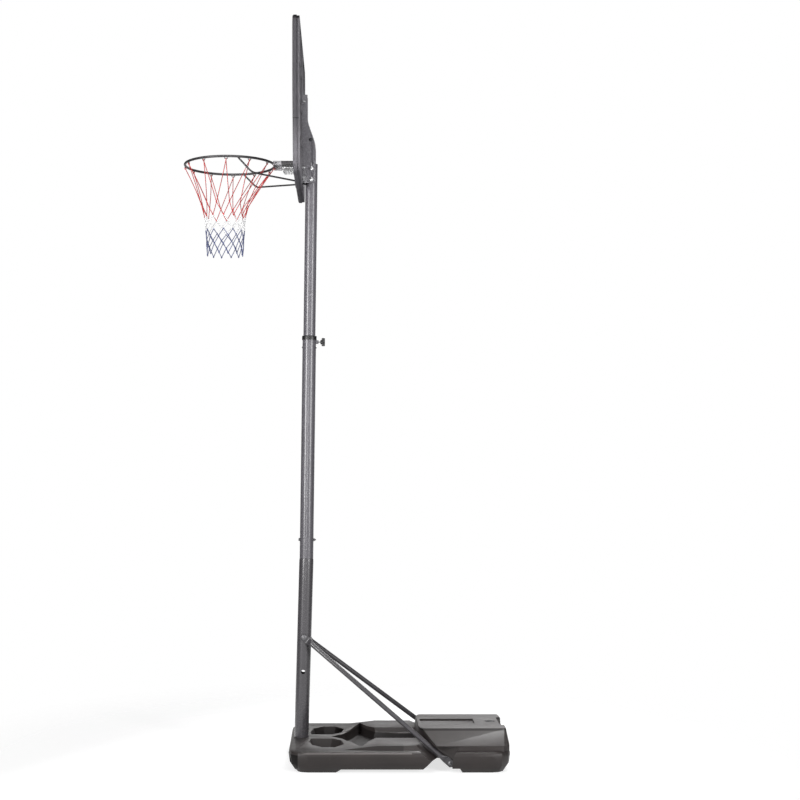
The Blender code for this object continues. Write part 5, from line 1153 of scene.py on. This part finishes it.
for bandName, firstRow, lastRow in net['bands']:
    store = ([], [], [])
    for row in range(firstRow, lastRow):
        for index in range(net['columns']):
            start = netSpot(row, index)
            for turn in (0, 1):
                below = index + turn if row % 2 else index - 1 + turn
                end = netSpot(row + 1, below)
                bow = net['bow'] * math.sin(3.1 * row + 5.7 * index + 2.3 * turn)
                if row == 0:
                    bow -= net['topBow']
                cordTube(store, strandPath(start, end, bow), net['cord'])
    knotRows = range(firstRow + (bandName != 'blue'), lastRow + (bandName != 'white'))
    for row in knotRows:
        for index in range(net['columns']):
            centre = netSpot(row, index)
            spoke = Vector((centre.x - rim['x'] + net['sway'], centre.y, 0)).normalized()
            cordTube(store, knotPath(centre, spoke), net['knotCord'])
    if bandName == 'red':                # loops over the hooks
        for index in range(net['columns']):
            angle = math.tau * index / net['columns']
            spoke = Vector((math.cos(angle), math.sin(angle), 0))
            bar = Vector((rim['x'], 0, net['loopHeight'])) + spoke * rim['radius']
            loop = []
            for step in range(19):
                t = math.tau * step / 18
                out = net['loopHalf'][0] * math.sin(t) - net['loopShift'][0]
                rise = -net['loopShift'][1] - net['loopHalf'][1] * math.cos(t)
                loop.append(bar + spoke * out + Vector((0, 0, rise)))
            cordTube(store, loop, net['loopCord'])
    lattice = cordMesh('net', store)
    mount(lattice, 'net_cords_' + bandName, 'rim', 'cord_' + bandName, 'net_' + bandName, angle=60)
print('net done')

# floor and light
studio = {
    'floorReach': 4.0, 'fadeStart': 1.1, 'fadeEnd': 2.4, 'floorTone': 0.42, 'floorGlow': 0.72,
    'roomLight': 0.20,
    'lamps': [                            # place, aim, width, height, watts, spread
        ((-4.2, -4.2, 2.5), (-0.2, 0.0, 1.9), 1.0, 3.2, 270.0, 180),
        ((4.0, -4.3, 2.5), (-0.2, 0.0, 1.9), 0.9, 3.2, 200.0, 180),
        ((0.0, -1.8, 6.4), (0.1, -0.1, 0.0), 4.0, 3.0, 86.0, 180),
        ((1.9, 4.4, 5.0), (0.5, 0.0, 0.0), 3.0, 2.6, 24.0, 44),
        ((-0.8, -5.6, 1.4), (-0.25, 0.0, 3.1), 1.4, 1.4, 9.0, 44),
    ],
    'cards': [                            # dark side cards: near end, far end
        ((-2.15, -1.2), (-4.4, 8.0)),
        ((5.2, 8.0), (2.7, -1.2)),
    ],
    'cardHeight': 6.0,
}
for index, (nearEnd, farEnd) in enumerate(studio['cards']):
    card = newPiece('sideCard%d' % index, [
        (*nearEnd, 0), (*farEnd, 0), (*farEnd, studio['cardHeight']), (*nearEnd, studio['cardHeight']),
    ], [], [(0, 1, 2, 3)])
    cardPaint, tree = newMaterial('cardPaint')
    cardShader = tree.nodes['Principled BSDF'].inputs
    cardShader['Base Color'].default_value = (0.01, 0.01, 0.01, 1)
    cardShader['Specular IOR Level'].default_value = 0.0
    card.data.materials.append(cardPaint)
    card.visible_camera = False
floor = primitive(bpy.ops.mesh.primitive_plane_add, size=studio['floorReach'] * 2, location=(0, 0, -0.0002))
floor.name = 'floor'


def seenWhite(tree):
    rays = addNode(tree, 'ShaderNodeLightPath').outputs
    seen = mathNode(tree, 'ADD', rays['Is Camera Ray'], rays['Is Glossy Ray'])
    return mathNode(tree, 'ADD', seen, rays['Is Transmission Ray'], clamp=True)


def mixedShader(tree, factor, first, second, outputKind):
    mixed = addNode(tree, 'ShaderNodeMixShader')
    out = addNode(tree, outputKind)
    for value, socket in ((factor, mixed.inputs['Fac']), (first, mixed.inputs[1]), (second, mixed.inputs[2]),
                          (mixed.outputs[0], out.inputs['Surface'])):
        feed(tree, value, socket)


floorPaint, tree = newMaterial('floorPaint')
tree.nodes.clear()
reach = addNode(tree, 'ShaderNodeVectorMath', operation='LENGTH')
feed(tree, addNode(tree, 'ShaderNodeTexCoord').outputs['Object'], reach.inputs[0])
fade = remap(tree, reach.outputs['Value'], (studio['fadeStart'], studio['fadeEnd']), smooth=True)
lit = addNode(tree, 'ShaderNodeBsdfDiffuse')
lit.inputs['Color'].default_value = (studio['floorTone'],) * 3 + (1,)
glow = addNode(tree, 'ShaderNodeEmission')
glow.inputs['Color'].default_value = (1, 1, 1, 1)
glowStrength = mathNode(tree, 'MULTIPLY', seenWhite(tree), studio['floorGlow'])
feed(tree, glowStrength, glow.inputs['Strength'])
both = addNode(tree, 'ShaderNodeAddShader')
feed(tree, lit.outputs[0], both.inputs[0])
feed(tree, glow.outputs[0], both.inputs[1])
clear = addNode(tree, 'ShaderNodeBsdfTransparent')
mixedShader(tree, fade, both.outputs[0], clear.outputs[0], 'ShaderNodeOutputMaterial')
floor.data.materials.append(floorPaint)

room = bpy.data.worlds.new('room')
bpy.context.scene.world = room
room.use_nodes = True
tree = room.node_tree
tree.nodes.clear()
backgrounds = []
for colour, strength in (((0.97, 0.98, 1.0, 1), studio['roomLight']), ((1, 1, 1, 1), 1.0)):
    background = addNode(tree, 'ShaderNodeBackground')
    background.inputs['Color'].default_value = colour
    background.inputs['Strength'].default_value = strength
    backgrounds.append(background.outputs[0])
mixedShader(tree, seenWhite(tree), *backgrounds, 'ShaderNodeOutputWorld')

for index, (spot, aim, width, height, watts, spread) in enumerate(studio['lamps']):
    lampData = bpy.data.lights.new('lamp%d' % index, 'AREA')
    lampData.shape = 'RECTANGLE'
    lampData.size = width
    lampData.size_y = height
    lampData.spread = math.radians(spread)
    lampData.energy = watts
    lamp = bpy.data.objects.new('lamp%d' % index, lampData)
    lamp.location = spot
    lamp.rotation_euler = (Vector(aim) - Vector(spot)).to_track_quat('-Z', 'Y').to_euler()
    bpy.context.collection.objects.link(lamp)
print('floor and lamps done')

letGo()
